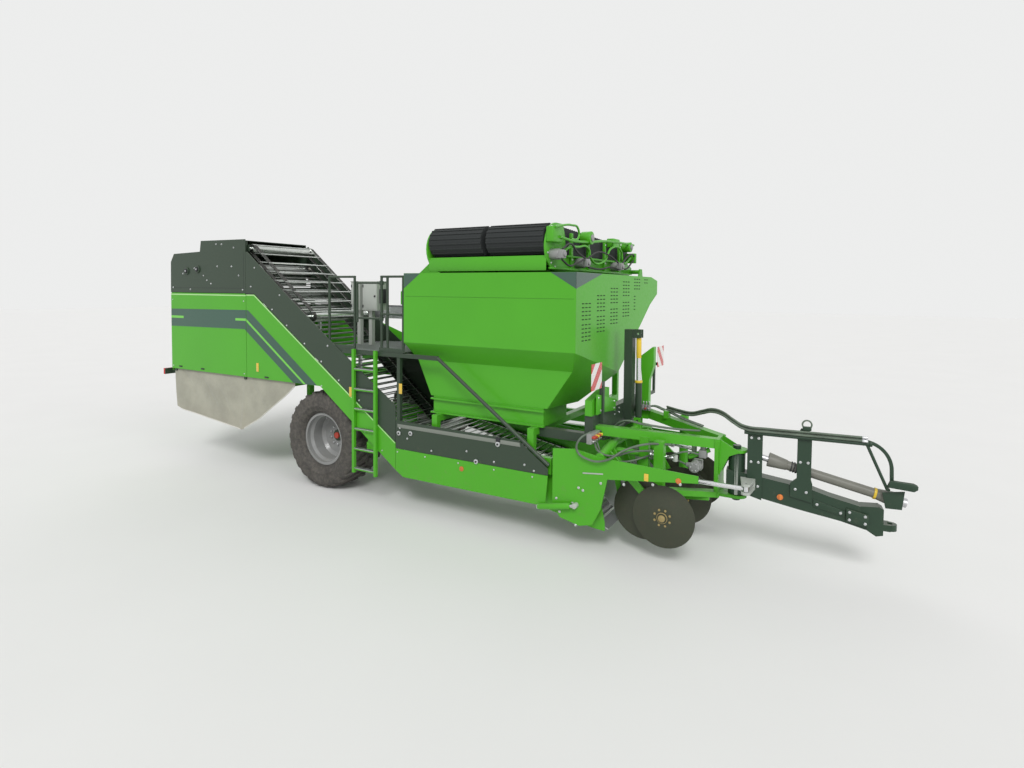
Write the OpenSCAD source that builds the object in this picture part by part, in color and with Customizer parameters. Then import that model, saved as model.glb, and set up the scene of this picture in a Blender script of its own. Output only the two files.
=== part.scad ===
// Trailed two-row potato harvester with a bunker, in millimetres.
// +X points forward, +Y to the left, +Z up. Stations along the machine are
// measured from the axle and shifted once, so that the origin lies on the
// ground under the middle of the machine.

/* [Overall] */
// Outer face of the right-hand side sheets, from the middle
side_y = 1450; // [1440:5:1460]
// How far the ladder stands out past the side sheets
ladder_out = 50; // [40:5:60]
// Outer face of the left side, from the middle
left_y = 1500; // [1480:5:1500]
// Thickness of the side sheets
sheet = 8; // [5:1:10]
// Rearmost point, the lamps behind the rear housing
rear_x = -3700; // [-3720:10:-3660]
// Foremost point, the hook for the hose couplings
front_x = 7000; // [6990:5:7020]

/* [Wheels] */
// Radius of the tyre over its tread
tyre_r = 685; // [670:5:690]
// Width of the tyre
tyre_w = 600; // [560:10:610]
// Radius of the rim's seat
rim_r = 345; // [335:5:350]
// Middle of the tyre, from the middle of the machine
wheel_y = 1105; // [1095:5:1110]
// Kingpin, from the middle of the machine
kingpin_y = 700; // [690:5:710]
// Radius of the kingpin
kingpin_r = 25; // [20:1:30]
// Radius of the wheel spindle
spindle_r = 45; // [38:1:48]

/* [Webs] */
// Radius of the web rollers
roller_r = 75; // [65:5:75]
// Thickness of the web belts
belt_t = 12; // [8:1:12]
// Diameter of the web bars
bar_d = 18; // [12:1:18]
// Spacing of the bars of the first and second web
bar_pitch = 100; // [90:5:140]
// Spacing of the bars of the haulm web
haulm_pitch = 225; // [200:5:300]
// Inner face of the digging channel's left wall
channel_left = 180; // [170:5:185]
// Inner face of the elevator's left wall
elevator_left = -150; // [-160:5:-145]
// Pivot of the digging channel along the machine
channel_pivot_x = 1450; // [1445:5:1460]
// Pivot of the digging channel above the ground
channel_pivot_z = 850; // [845:5:855]
// Front roller of the first web along the machine
nose_x = 4050; // [4040:5:4055]
// Front roller of the first web above the ground
nose_z = 400; // [395:5:410]

/* [Digging unit] */
// Spacing of the potato rows
row_pitch = 750; // [745:5:760]
// Radius of the disc coulters
disc_r = 320; // [280:5:325]
// Height of the disc hubs
disc_z = 510; // [490:5:520]
// Station of the front disc hubs
disc_x = 4810; // [4790:5:4815]
// Middle disc from the middle of the machine
row_mid = -540; // [-545:5:-535]
// Width of the ridge rollers
roller_w = 330; // [300:5:335]

/* [Bunker] */
// Rear wall of the bunker
bunker_rear = 1560; // [1555:5:1570]
// Front wall of the bunker
bunker_front = 3900; // [3880:5:3910]
// Top rim of the bunker
bunker_top = 3000; // [2980:5:3005]
// Crease where the right wall turns inwards
bunker_crease = 2140; // [2120:5:2160]
// Thickness of the bunker's walls
bunker_wall = 10; // [6:1:12]

/* [Discharge conveyor] */
// Fold axis, from the middle of the machine
fold_y = 1330; // [1325:5:1335]
// Fold axis above the ground
fold_z = 3080; // [3075:5:3090]
// Middle of the near roller above the ground
discharge_z = 3370; // [3365:5:3375]
// Radius over the rollers' belts
discharge_r = 170; // [150:5:170]

/* [Drawbar] */
// Station of the vertical drawbar pin
pin_x = 5400; // [5395:5:5410]
// Drawbar pin from the middle of the machine
pin_y = -600; // [-610:5:-590]
// Radius of the drawbar pin
pin_r = 40; // [34:1:44]
// Angle of the drawbar to the left as parked
drawbar_yaw = 7; // [5:1:9]
// Width of the drawbar's box beam
drawbar_w = 160; // [150:5:165]
// Bore of the power shaft's coupling
pto_bore_r = 17.5; // [14:0.5:20]
// Bore of the hitch eye
hitch_bore_r = 25; // [20:0.5:30]

/* [Hidden] */
$fn = 32;

green = [0.24, 0.66, 0.16];
dark = [0.19, 0.25, 0.22];
steel = [0.62, 0.63, 0.64];
black = [0.10, 0.10, 0.11];
light = [0.75, 0.76, 0.74];

// Running clearance of pins and shafts in their bores
running = 0.05;
// Gap between pieces that move past each other
gap = 12;
// Gap left between two pieces that are bolted together
seat = 0.3;
// How far one bar is let into another that it is welded to
weld = 1;
shift_x = -(rear_x + front_x) / 2;
axle_z = tyre_r;
ladder_y = -(side_y + ladder_out);
side_in = -(side_y - sheet);

// ---------- Shapes that are used throughout ----------

module place() translate([shift_x, 0, 0]) children();

// Box between two corners
module block(a, b) translate(a) cube(b - a);

// Outline in the side view, from y to y + t
module side_sheet(pts, y, t)
  translate([0, y + t, 0]) rotate([90, 0, 0]) linear_extrude(t) polygon(pts);

// Outline in the front view, from x to x + t
module cross_sheet(pts, x, t)
  translate([x, 0, 0]) rotate([90, 0, 90]) linear_extrude(t) polygon(pts);

// Outline in the plan view, from z to z + t
module deck_sheet(pts, z, t) translate([0, 0, z]) linear_extrude(t) polygon(pts);

module along(p, q) {
  d = q - p;
  translate(p) rotate([0, 90 - atan2(d[2], norm([d[0], d[1]])), atan2(d[1], d[0])]) children();
}

// Round bar from p to q
module rod(p, q, r) along(p, q) cylinder(r = r, h = norm(q - p));

// Square bar from p to q, w across and h deep
module beam(p, q, w, h)
  along(p, q) translate([-h / 2, -w / 2, 0]) cube([h, w, norm(q - p)]);

module tube_y(x, y0, y1, z, r)
  translate([x, y0, z]) rotate([-90, 0, 0]) cylinder(r = r, h = y1 - y0);

module tube_x(x0, x1, y, z, r)
  translate([x0, y, z]) rotate([0, 90, 0]) cylinder(r = r, h = x1 - x0);

// Everything on the side of p that n points to
module half_space(p, n)
  translate(p) rotate([0, acos(n[2] / norm(n)), atan2(n[1], n[0])])
    translate([-6000, -6000, 0]) cube([12000, 12000, 6000]);

function unit(v) = v / norm(v);
function out(a, b) = let (d = unit(b - a)) [d[1], -d[0]];

// A counter-clockwise outline moved outwards by d, with sharp corners
function grown(pts, d) = [
  for (i = [0 : len(pts) - 1])
    let (n = len(pts), a = out(pts[(i + n - 1) % n], pts[i]), b = out(pts[i], pts[(i + 1) % n]))
      pts[i] + d * (a + b) / (1 + a * b)
];

// Points on an arc round c, from angle a to angle b
function arc(c, r, a, b, steps = 6) = [
  for (k = [0 : steps]) let (t = a + (b - a) * k / steps) c + r * [cos(t), sin(t)]
];

// A counter-clockwise belt line round rollers of radius r at the given centres
function belt_line(c, r, steps = 6) = [
  for (i = [0 : len(c) - 1])
    let (
      n = len(c),
      a = out(c[(i + n - 1) % n], c[i]), b = out(c[i], c[(i + 1) % n]),
      a0 = atan2(a[1], a[0]), turn = (atan2(b[1], b[0]) - a0 + 720) % 360
    )
      each turn > 180
        ? [c[i] + r * (a + b) / (1 + a * b)]
        : arc(c[i], r, a0, a0 + turn, steps)
];

// Running length of a closed line up to each corner
function runs(l, i = 0, s = 0) =
  i >= len(l) ? [s] : concat([s], runs(l, i + 1, s + norm(l[(i + 1) % len(l)] - l[i])));

// Points spaced along a closed line
function spaced(l, pitch) =
  let (s = runs(l), total = s[len(l)], count = floor(total / pitch)) [
    for (k = [0 : count - 1])
      let (t = total * k / count, i = max([for (j = [0 : len(l) - 1]) s[j] <= t ? j : 0]))
        l[i] + (l[(i + 1) % len(l)] - l[i]) * (t - s[i]) / (s[i + 1] - s[i])
  ];

// A web in the side view: belts round rollers at centres c, bars from y0 to y1
module web(c, r, y0, y1, pitch, belts = 2, belt_w = 60) {
  inner = belt_line(c, r);
  outer = belt_line(c, r + belt_t);
  middle = belt_line(c, r + belt_t / 2);
  for (k = [0 : belts - 1])
    translate([0, y0 + belt_w + k * (y1 - y0 - belt_w) / (belts - 1), 0]) rotate([90, 0, 0])
      linear_extrude(belt_w) difference() {
        polygon(outer);
        polygon(inner);
      }
  for (p = spaced(middle, pitch))
    translate([p[0], y0, p[1]]) rotate([-90, 0, 0]) cylinder(d = bar_d, h = y1 - y0, $fn = 8);
  for (p = c) tube_y(p[0], y0, y1, p[1], r + weld);
}

// A plain belt in the side view round its rollers, from y0 to y1
module belt(c, r, t, y0, y1) {
  translate([0, y1, 0]) rotate([90, 0, 0]) linear_extrude(y1 - y0) difference() {
    polygon(belt_line(c, r + t));
    polygon(belt_line(c, r));
  }
  for (p = c) tube_y(p[0], y0 + 10, y1 - 10, p[1], r + weld);
}

// Hose of radius r swept along a route, as a closed tube with flat sides
hose_sides = 8;
module hose(route, r) {
  n = len(route);
  rings = [
    for (i = [0 : n - 1])
      let (
        d = unit(route[min(i + 1, n - 1)] - route[max(i - 1, 0)]),
        u = unit(cross(d, [0, 0, 1])), v = cross(u, d)
      )
        each [for (k = [0 : hose_sides - 1])
          route[i] + r * (cos(k * 360 / hose_sides) * u + sin(k * 360 / hose_sides) * v)]
  ];
  sides = [
    for (i = [0 : n - 2], k = [0 : hose_sides - 1])
      let (a = i * hose_sides, b = (k + 1) % hose_sides)
        [a + k, a + b, a + hose_sides + b, a + hose_sides + k]
  ];
  polyhedron(rings, concat(
    sides,
    [[for (k = [hose_sides - 1 : -1 : 0]) k], [for (k = [0 : hose_sides - 1]) (n - 1) * hose_sides + k]]
  ));
}

// ---------- Running gear ----------

kingpin_half = 95;
plate_t = 25;
axle_half = 80;

module axle() place() color(green) difference() {
  union() {
    block([-axle_half, -kingpin_y + 60, axle_z - axle_half], [axle_half, kingpin_y - 60, axle_z + axle_half]);
    for (s = [-1, 1], z = [-kingpin_half - plate_t, kingpin_half])
      translate([-70, s * (kingpin_y - 35) - 95, axle_z + z]) cube([140, 190, plate_t]);
    for (s = [-1, 1])
      translate([-70, s * (kingpin_y - 95) - 35, axle_z - kingpin_half - weld])
        cube([140, 70, 2 * (kingpin_half + weld)]);
  }
  for (s = [-1, 1])
    translate([0, s * kingpin_y, 0]) cylinder(r = kingpin_r, h = 2 * axle_z);
}

// Faces of the wheel along its own axle, inboard of the tyre's middle
spindle_end = 52;
hub_end = 170;

// Kingpin block with its spindle, s is the side
module knuckle(s) place() color(steel) {
  pin_h = kingpin_half + plate_t + 15;
  spindle = [kingpin_y, wheel_y - spindle_end];
  translate([0, s * kingpin_y, axle_z - pin_h]) cylinder(r = kingpin_r - running, h = 2 * pin_h);
  translate([0, s * kingpin_y, axle_z - kingpin_half + 2]) cylinder(r = 52, h = 2 * kingpin_half - 4);
  tube_y(0, s > 0 ? spindle[0] : -spindle[1], s > 0 ? spindle[1] : -spindle[0], axle_z,
    spindle_r - running);
}
module knuckle_right() knuckle(-1);
module knuckle_left() knuckle(1);

// Half sections: radius over the rim's seat and half width, on a tyre 600 wide and 340 deep
tyre_outside = [
  [0.5, 209.5], [24, 209.5], [34, 250], [80, 286], [150, 300], [235, 300], [285, 292], [322, 262],
  [336, 215], [340, 120], [340, 0],
];
tyre_inside = [[290, 0], [285, 150], [255, 230], [200, 252], [130, 258], [70, 240], [30, 190], [0.5, 170]];
function tyre_point(p, side) = [rim_r + p[0] * (tyre_r - rim_r) / 340, side * p[1] * tyre_w / 600];

// Wheel pieces are drawn round Z, with +Z pointing to the middle of the machine
module on_wheel(s) place() translate([0, s * wheel_y, axle_z]) rotate([s * 90, 0, 0]) children();

module tyre(s) on_wheel(s) color(black) rotate_extrude($fn = 72)
  polygon(concat(
    [for (p = tyre_outside) tyre_point(p, 1)],
    [for (i = [len(tyre_outside) - 2 : -1 : 0]) tyre_point(tyre_outside[i], -1)],
    [for (i = [len(tyre_inside) - 1 : -1 : 0]) tyre_point(tyre_inside[i], -1)],
    [for (i = [1 : len(tyre_inside) - 1]) tyre_point(tyre_inside[i], 1)]
  ));
module tyre_right() tyre(-1);
module tyre_left() tyre(1);

// Dished rim on its hub: a thin barrel with flanges and a drop centre, a disc
// set deep in, the hub behind it, and the hub's nose and cap through its middle
flange = 12;
flange_h = 22;
rim_t = 12;
disc_face = [62, 78];
nose_r = 78;
nut_r = 135;
module rim(s) on_wheel(s) color(steel) {
  seat_w = 210 * tyre_w / 600;
  edge = seat_w + flange;
  inner = rim_r - rim_t;
  drop = inner - 26;
  rotate_extrude($fn = 72) polygon([
    [rim_r + flange_h, edge], [rim_r + flange_h, seat_w], [rim_r, seat_w],
    [rim_r, 160], [drop + rim_t, 120], [drop + rim_t, -120], [rim_r, -160],
    [rim_r, -seat_w], [rim_r + flange_h, -seat_w], [rim_r + flange_h, -edge],
    [inner, -edge], [inner, -165], [drop, -126], [drop, 24],
    [drop - 40, disc_face[0]], [nose_r - weld, disc_face[0]], [nose_r - weld, disc_face[1]],
    [drop - 34, disc_face[1]], [drop, 54], [drop, 126], [inner, 165], [inner, edge],
  ]);
  rotate_extrude($fn = 48) polygon([
    [0, 12], [42, 12], [48, 30], [nose_r - 8, 30], [nose_r, 38], [nose_r, disc_face[1] - weld],
    [nut_r + 28, disc_face[1] - weld], [nut_r + 28, disc_face[1] + 16], [90, disc_face[1] + 30],
    [72, hub_end], [spindle_r, hub_end], [spindle_r, spindle_end - 2], [0, spindle_end - 2],
  ]);
  for (k = [0 : 9]) rotate(k * 36 + 18)
    translate([nut_r, 0, disc_face[0] - 24]) cylinder(r = 13, h = 24 + weld);
}
module rim_right() rim(-1);
module rim_left() rim(1);

// ---------- Chassis ----------

side_beam_w = 70;
side_beam_z = [780, 960];
side_beam_top = side_beam_z[1];
// Outer face of the right side beam and right faces of the two on the left
right_beam_y = side_in + 50;
left_beam_y = channel_left + 80;
outer_beam_y = 1240;
left_edge = outer_beam_y + side_beam_w;
channel_right = right_beam_y + side_beam_w + gap;
channel_wall = 10;
side_beam_x = [900, 3600];
// Box beams on the axle, and the beams that carry the rear on posts above them
bearer = [430, 530];
upper_beam = [560, 640];
upper_z = [1330, 1420];
upper_front = 1300;
// Stations of the frames under the bunker, and their height
bunker_frame_x = [1960, 3300];
bunker_frame_w = 80;
bunker_frame_z = [1180, 1260];
// Stations and height of the bars across the rear, and of those under the picking table
cross_bar_x = [-3400, -1600, -800];
cross_bar_z = [1350, 1410];
table_bar_x = [-2250, -600, 1200];
table_bar_z = [1340, 1400];
table_y = [-40, 740];
cloth_in = side_in + 38;
post_y = side_in + 12;
inner_post_y = elevator_left + sheet + seat;

// Underside of the bunker's left slope at y
slope_a = [-640, 1470];
slope_b = [1110, 2610];
slope_c = [left_y - 60, 2760];
function slope_z(y) = slope_b[1] + (y - slope_b[0]) * (slope_c[1] - slope_b[1]) / (slope_c[0] - slope_b[0]);

module chassis() place() color(green) difference() {
  chassis_frame();
  // Bores of the digging unit's pivots
  tube_y(channel_pivot_x, right_beam_y + 20, right_beam_y + side_beam_w + weld, channel_pivot_z, pivot_r);
  tube_y(channel_pivot_x, left_beam_y - weld, left_beam_y + 50, channel_pivot_z, pivot_r);
}

module chassis_frame() {
  frame_z = [axle_z - 40, axle_z + 90];
  for (y = [-bearer[1], bearer[0]])
    block([-1150, y, axle_z + axle_half], [side_beam_x[0], y + 100, axle_z + 200]);
  block([-1150, -620, frame_z[0]], [-1030, 620, frame_z[1]]);
  block([880, right_beam_y, frame_z[0]], [1000, left_edge, frame_z[1]]);
  for (y = [right_beam_y, left_beam_y, outer_beam_y]) {
    block([side_beam_x[0], y, frame_z[0]], [1000, y + side_beam_w, side_beam_top]);
    block([side_beam_x[0], y, side_beam_z[0]], [side_beam_x[1], y + side_beam_w, side_beam_top]);
  }
  block([side_beam_x[1] - 100, left_beam_y, side_beam_z[0]], [side_beam_x[1], left_edge, side_beam_top]);
  for (x = bunker_frame_x) {
    block([x, right_beam_y, bunker_frame_z[0]], [x + bunker_frame_w, left_edge, bunker_frame_z[1]]);
    for (y = [right_beam_y, left_beam_y])
      block([x, y, side_beam_top - weld], [x + bunker_frame_w, y + side_beam_w, bunker_frame_z[0] + weld]);
    cross_sheet([
      [outer_beam_y, side_beam_top - weld], [left_edge, side_beam_top - weld],
      [left_edge, slope_z(left_edge) - seat], [outer_beam_y, slope_z(outer_beam_y) - seat],
    ], x, bunker_frame_w);
  }
  // Rear: posts on the axle frame, two long beams and the bars across
  for (y = [-upper_beam[1], upper_beam[0]])
    block([-1130, y, axle_z + 80], [-1050, y + 80, upper_z[0] + weld]);
  block([-3400, -upper_beam[1], upper_z[0]], [-300, -upper_beam[0], upper_z[1]]);
  block([-3400, upper_beam[0], upper_z[0]], [upper_front, upper_beam[1], upper_z[1]]);
  block([side_beam_x[0], upper_beam[0], frame_z[1] - weld], [1000, upper_beam[1], upper_z[0] + weld]);
  for (x = cross_bar_x)
    block([x, cloth_in + seat, cross_bar_z[0]], [x + 80, left_y - sheet - seat, cross_bar_z[1]]);
  for (x = table_bar_x)
    block([x, table_y[0] - 60, table_bar_z[0]], [x + 80, upper_beam[0] + weld, table_bar_z[1]]);
  // Post and blocks that the right-hand side sheets are bolted to
  block([side_beam_x[0], right_beam_y, side_beam_top - weld], [1000, right_beam_y + side_beam_w, 1600]);
  block([side_beam_x[0], side_in + seat, 1380], [1000, right_beam_y + weld, 1440]);
  block([1080, side_in + seat, 800], [1140, right_beam_y + weld, 860]);
  for (x = [1500, 2500, 3450])
    block([x, side_in + seat, 640], [x + 12, right_beam_y + weld, side_beam_top - 20]);
}

// Dark cross beam in front of the bunker, its rails, the mast of the lift
// cylinder and the arms of the warning plates
beam_x = [3930, 4030];
beam_z = [1150, 1450];
beam_y = [-1250, 350];
rail_y = [-1250, 250];
mast_x = [4030, 4130];
lift_y = -240;
plate_x = 4086;
plate_z = [1750, 2032];
plate_y = [-1430, 920];
module cross_beam() place() color(dark) {
  block([beam_x[0], beam_y[0], beam_z[0]], [beam_x[1], beam_y[1], beam_z[1]]);
  for (y = rail_y)
    block([bunker_frame_x[1] + bunker_frame_w + seat, y, beam_z[0]], [beam_x[0] + weld, y + 100, beam_z[0] + 100]);
  block([mast_x[0] - weld, lift_y - 60, beam_z[0] + 100], [mast_x[1], lift_y + 60, lift_top[1] + 50]);
  for (y = [-46, 34]) difference() {
    block([mast_x[1] - weld, lift_y + y, lift_top[1] - 50], [lift_top[0] + 40, lift_y + y + 12, lift_top[1] + 50]);
    tube_y(lift_top[0], lift_y + y - 5, lift_y + y + 20, lift_top[1], lift_pin_r);
  }
  // Arms that reach out to the plates in front of the beam
  block([beam_x[1] - weld, -1080, 1350], [plate_x - 10 - seat, -1040, plate_z[0] + 60]);
  block([plate_x - 40, -1250, plate_z[0] + 20], [plate_x - 10 - seat, -1039, plate_z[0] + 60]);
  block([beam_x[1] - 30, beam_y[1] - weld, 1380], [beam_x[1], 1000, 1420]);
  block([beam_x[1] - 30, 960, 1381], [beam_x[1], 1000, plate_z[0] + 60]);
  block([beam_x[1] - weld, 960, plate_z[0] + 20], [plate_x - 10 - seat, 1000, plate_z[0] + 60]);
}

// Frame inside the rear: posts on the cross bars, rails, the pin of the side
// door and the bearings of the upper web rollers
rear_post = 50;
rear_post_x = [cross_bar_x[0], cross_bar_x[1]];
rail_low = [2560, 2610];
door_pin_r = 3;
door_pin_z = 2708;
door_pin_y = -side_y + 6;
roof_z = 2450;
module rear_frame() place() color(dark) {
  left_post = left_y - 120;
  for (x = rear_post_x) {
    block([x, post_y, cross_bar_z[1]], [x + rear_post, post_y + rear_post, x == rear_post_x[0] ? 3150 : 3500]);
    block([x, inner_post_y, cross_bar_z[1]], [x + rear_post, inner_post_y + rear_post, 2900]);
    block([x, left_post, cross_bar_z[1]], [x + rear_post, left_post + rear_post, roof_z - sheet - seat]);
    block([x, post_y, rail_low[0]], [x + rear_post, inner_post_y + weld, rail_low[1]]);
    block([x, inner_post_y, 2260], [x + rear_post, left_post + weld, 2310]);
    for (z = [2800, 3060])
      block([x, side_in + seat, z], [x + rear_post, post_y + weld, z + 60]);
  }
  for (y = [post_y, inner_post_y])
    block([rear_post_x[0], y, rail_low[0]], [rear_post_x[1] + rear_post, y + rear_post, rail_low[1]]);
  // Blocks for the side panel and the rear wall
  for (z = [1700, 2300])
    block([rear_post_x[1] + rear_post - weld, side_in + seat, z], [-1440, post_y + rear_post, z + 40]);
  for (y = [post_y, inner_post_y, left_post])
    block([rear_x0 + sheet + seat, y, 1900], [rear_post_x[0] + weld, y + rear_post, 1960]);
  // Hinge pin of the side door
  tube_x(door_x[0] + 6, door_x[1] - 2, door_pin_y, door_pin_z, door_pin_r - running);
  for (x = [door_x[0] + 5, door_x[1] - 12])
    block([x, door_pin_y - 4, door_pin_z - 4], [x + 12, post_y + weld, door_pin_z + 4]);
  block([door_x[0] + 5, post_y, door_pin_z - 14], [rear_post_x[0] + weld, post_y + 20, door_pin_z + 14]);
  block([rear_post_x[1] + rear_post - weld, post_y, door_pin_z - 14], [door_x[1], post_y + 20, door_pin_z + 14]);
  // Bearings
  for (p = [web_high, haulm_high])
    block([p[0] - 60, post_y + rear_post - 12, p[1] - 50], [p[0] + 60, post_y + rear_post, p[1] + 50]);
}

// A-frame that carries the drawbar's yoke, with the green mast
yoke_x = pin_x - 200;
yoke_t = 30;
yoke_low = 640;
yoke_high = 1120;
frame_beam = 100;
// Beams of the A: across and height at the cross beam, offset and height at the yoke
a_start = [[-1150, 1290], [250, 1290]];
a_end = [90, 1200];
chord = [[4700, -1000, 685], [yoke_x + 30, -700, 665]];
steer_z = 820;
steer_a = [4520, -905, steer_z];
leg = [4700, -40];
leg_tube_r = 52;
module front_frame() place() color(green) {
  difference() {
    union() for (k = [0, 1])
      beam([beam_x[1] - 60, a_start[k][0], a_start[k][1]],
        [yoke_x + 30, pin_y + (k == 0 ? -a_end[0] : a_end[0]), a_end[1]], frame_beam, frame_beam);
    block([beam_x[1] - 300, -2000, 900], [beam_x[1] + seat, 2000, 1600]);
  }
  difference() {
    union() {
      block([yoke_x, pin_y - 160, yoke_low], [yoke_x + 40, pin_y + 160, 1250]);
      for (z = [yoke_low, yoke_high]) {
        block([yoke_x, pin_y - 105, z], [pin_x, pin_y + 105, z + yoke_t]);
        translate([pin_x, pin_y, z]) cylinder(r = 105, h = yoke_t);
      }
      for (y = [-105, 90]) side_sheet([
        [yoke_x + 39, 860], [yoke_x + 39, 1249], [pin_x - 20, yoke_high + yoke_t + 20],
        [pin_x + 30, yoke_high + yoke_t], [pin_x + 30, yoke_high + weld], [pin_x - 60, yoke_high - 40],
      ], pin_y + y, 15);
    }
    translate([pin_x, pin_y, 400]) cylinder(r = pin_r, h = 900);
  }
  // Lower chord and its hanger
  beam(chord[0], chord[1], frame_beam, 60);
  block([4650, -1090, 655], [4750, -990, 1230]);
  // Lug of the steering cylinder
  difference() {
    union() {
      block([4470, -1020, 866], [4570, -950, 1240]);
      block([4480, -1020, 866], [4560, -865, 886]);
    }
    translate([steer_a[0], steer_a[1], steer_z]) cylinder(r = lug_pin_r, h = 120);
  }
  // Bracket that holds the parking leg's tube
  difference() {
    block([leg[0] - 60, -190, 1180], [leg[0] + 60, leg[1] + 60, 1240]);
    translate([leg[0], leg[1], 1100]) cylinder(r = leg_tube_r + seat, h = 300);
  }
  // Green mast with its pointed head
  side_sheet([
    [4150, 1215], [4240, 1215], [4245, 1700], [4300, 1880], [4300, 2110], [4285, 2115], [4140, 2000],
    [4140, 1860], [4155, 1700],
  ], 10, 90);
  // Cover on the cross beam
  cross_sheet([[-1270, beam_z[1] + seat], [-760, beam_z[1] + seat], [-760, 1700], [-900, 1700], [-1270, 1620]],
    beam_x[0] + 10, 80);
  // Clamp of the hose bundle
  block([hose_route[0][0] - 30, -150, 1280], [hose_route[0][0] + 30, -60, 1370]);
}

// ---------- Drawbar, drawn along +X from its pin ----------

module on_drawbar() place() translate([pin_x, pin_y, 0]) rotate(drawbar_yaw) children();
function drawbar_point(x, y, z) = [
  pin_x + x * cos(drawbar_yaw) - y * sin(drawbar_yaw),
  pin_y + x * sin(drawbar_yaw) + y * cos(drawbar_yaw), z
];

eye_x = front_x - pin_x - 200;
eye_z = 540;
beam_side = -drawbar_w / 2;
upright_t = 20;
hoop_r = 22;
hoop_y = beam_side - upright_t - seat - hoop_r;
hoop_z = 1360;
pivot_z = [yoke_low + yoke_t + 5, yoke_high - 5];
steer_b = drawbar_point(100, -300, steer_z);

module drawbar() on_drawbar() color(dark) {
  side_sheet([
    [-100, 740], [-10, 738], [235, 676], [610, 608], [968, 553], [eye_x - 210, 500],
    [eye_x - 260, 722], [874, 780], [713, 827], [114, 912], [-100, 930],
  ], beam_side, drawbar_w);
  translate([0, 0, pivot_z[0]]) cylinder(r = 84, h = pivot_z[1] - pivot_z[0]);
  translate([0, 0, yoke_low - 35]) cylinder(r = pin_r - running, h = yoke_high + yoke_t - yoke_low + 70);
  // Lateral arm that the steering cylinder pushes on
  difference() {
    for (z = [-55, 30])
      deck_sheet([
        [40, beam_side + weld], [60, -330], [80, -345], [120, -345], [140, -330], [190, beam_side + weld],
      ], steer_z + z, 25);
    translate([100, -300, 0]) cylinder(r = lug_pin_r + 1, h = 2 * steer_z);
  }
  // Two uprights on the right side
  side_sheet([[103, 700], [248, 660], [248, 1350], [103, 1350]], beam_side - upright_t, upright_t + weld);
  side_sheet([
    [513, 740], [713, 700], [713, 890], [700, 930], [700, 1380], [670, 1440], [600, 1440],
    [570, 1380], [570, 930], [513, 880],
  ], beam_side - upright_t, upright_t + weld);
  // Bearing of the power shaft
  difference() {
    block([205, beam_side - weld, 1000], [235, 70, 1170]);
    rod(pto_a, pto_b, 36);
  }
  block([205, -70, 860], [235, 70, 1001]);
  // Clamps on the tube that carries the hoses
  for (x = [175, 635])
    block([x - 20, hoop_y + hoop_r - 6, hoop_z - 40], [x + 20, beam_side - upright_t + weld, hoop_z - hoop_r - seat]);
}

module hitch_head() on_drawbar() color(dark) difference() {
  union() {
    side_sheet([
      [eye_x - 210 + seat, 500], [eye_x - 122, 446], [eye_x, 480], [eye_x, 600], [eye_x - 13, 689],
      [eye_x - 97, 735], [eye_x - 260 + seat, 722],
    ], -70, 140);
    translate([eye_x, 0, eye_z - 30]) cylinder(r = 60, h = 60);
  }
  translate([eye_x, 0, 300]) cylinder(r = hitch_bore_r, h = 600);
  block([eye_x - 62, -80, eye_z + 31], [eye_x + 80, 80, 800]);
  block([eye_x - 62, -80, 400], [eye_x + 80, 80, eye_z - 31]);
}

// Tube beside the uprights, and the bent strap and hook for the couplings
hook_x = (front_x - pin_x + hoop_y * sin(drawbar_yaw)) / cos(drawbar_yaw);
module hose_hoop() on_drawbar() color(dark) {
  rod([70, hoop_y, hoop_z], [1190, hoop_y, hoop_z - 5], hoop_r);
  side_sheet(concat(
    arc([1130, 1130], 285, 78, 5, 8),
    [[hook_x - 185, 1023], [hook_x, 1009], [hook_x - 40, 946], [1330, 968]],
    arc([1110, 1120], 200, -10, 70, 6)
  ), hoop_y - 12, 24);
}

// Hoses from the frame over to the drawbar and along its tube, x, y and height
hose_route = [[4510, -105, 1400], [4680, -170, 1385], [4850, -300, 1400], [5000, -430, 1460], [5130, -540, 1510],
  [5250, -620, 1505], [5370, -680, 1450], [5480, -712, 1405]];
hose_r = 11;
// Place of each hose over the tube's middle: across, and above
hose_places = [[-24, 24], [0, 34], [-14, 56]];
module hose_bundle() place() color(black)
  for (h = hose_places)
    hose(concat(
      [for (p = hose_route) p + [0, h[0], h[1] - 34]],
      [for (x = [300, 600, 900, 1130]) drawbar_point(x, hoop_y + h[0], hoop_z + h[1])]
    ), hose_r);

pto_a = [170, 0, 1100];
pto_b = [1500, 0, 794];
pto_along = pto_b - pto_a;
pto_tube_r = 38;
module pto_guard() on_drawbar() color(black) difference() {
  union() {
    rod(pto_a + 0.09 * pto_along, pto_b - 0.1 * pto_along, pto_tube_r + 7);
    rod(pto_a + 0.09 * pto_along, pto_a + 0.24 * pto_along, 62);
    rod(pto_b - 0.16 * pto_along, pto_b - 0.04 * pto_along, 65);
    block([620, beam_side + weld + seat, 960], [660, -30, 1020]);
  }
  rod(pto_a, pto_b, pto_tube_r);
}
pto_end = pto_b + 30 * unit(pto_along);
module pto_shaft() on_drawbar() color(steel) difference() {
  union() {
    rod(pto_a, pto_end, 30);
    rod(pto_b - 0.03 * pto_along, pto_end, 45);
  }
  rod(pto_end - 80 * unit(pto_along), pto_end + 20 * unit(pto_along), pto_bore_r);
}

// Cylinder between two pins: the barrel from the first, the rod out to the
// second. The barrel ends at a share of the distance, the rod reaches back into it.
lug_pin_r = 15;
barrel_wall = 12;
module barrel(p, q, r, share) {
  d = unit(q - p);
  l = norm(q - p);
  difference() {
    union() {
      rod(p + 20 * d, p + 50 * d, r - barrel_wall);
      rod(p + 45 * d, p + share * l * d, r);
    }
    rod(p + 60 * d, p + (share * l + 10) * d, r - barrel_wall + running);
  }
}
module piston(p, q, r, share, back) {
  d = unit(q - p);
  l = norm(q - p);
  rod(p + (share * l - back) * d, q - 25 * d, r - barrel_wall);
}

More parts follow.
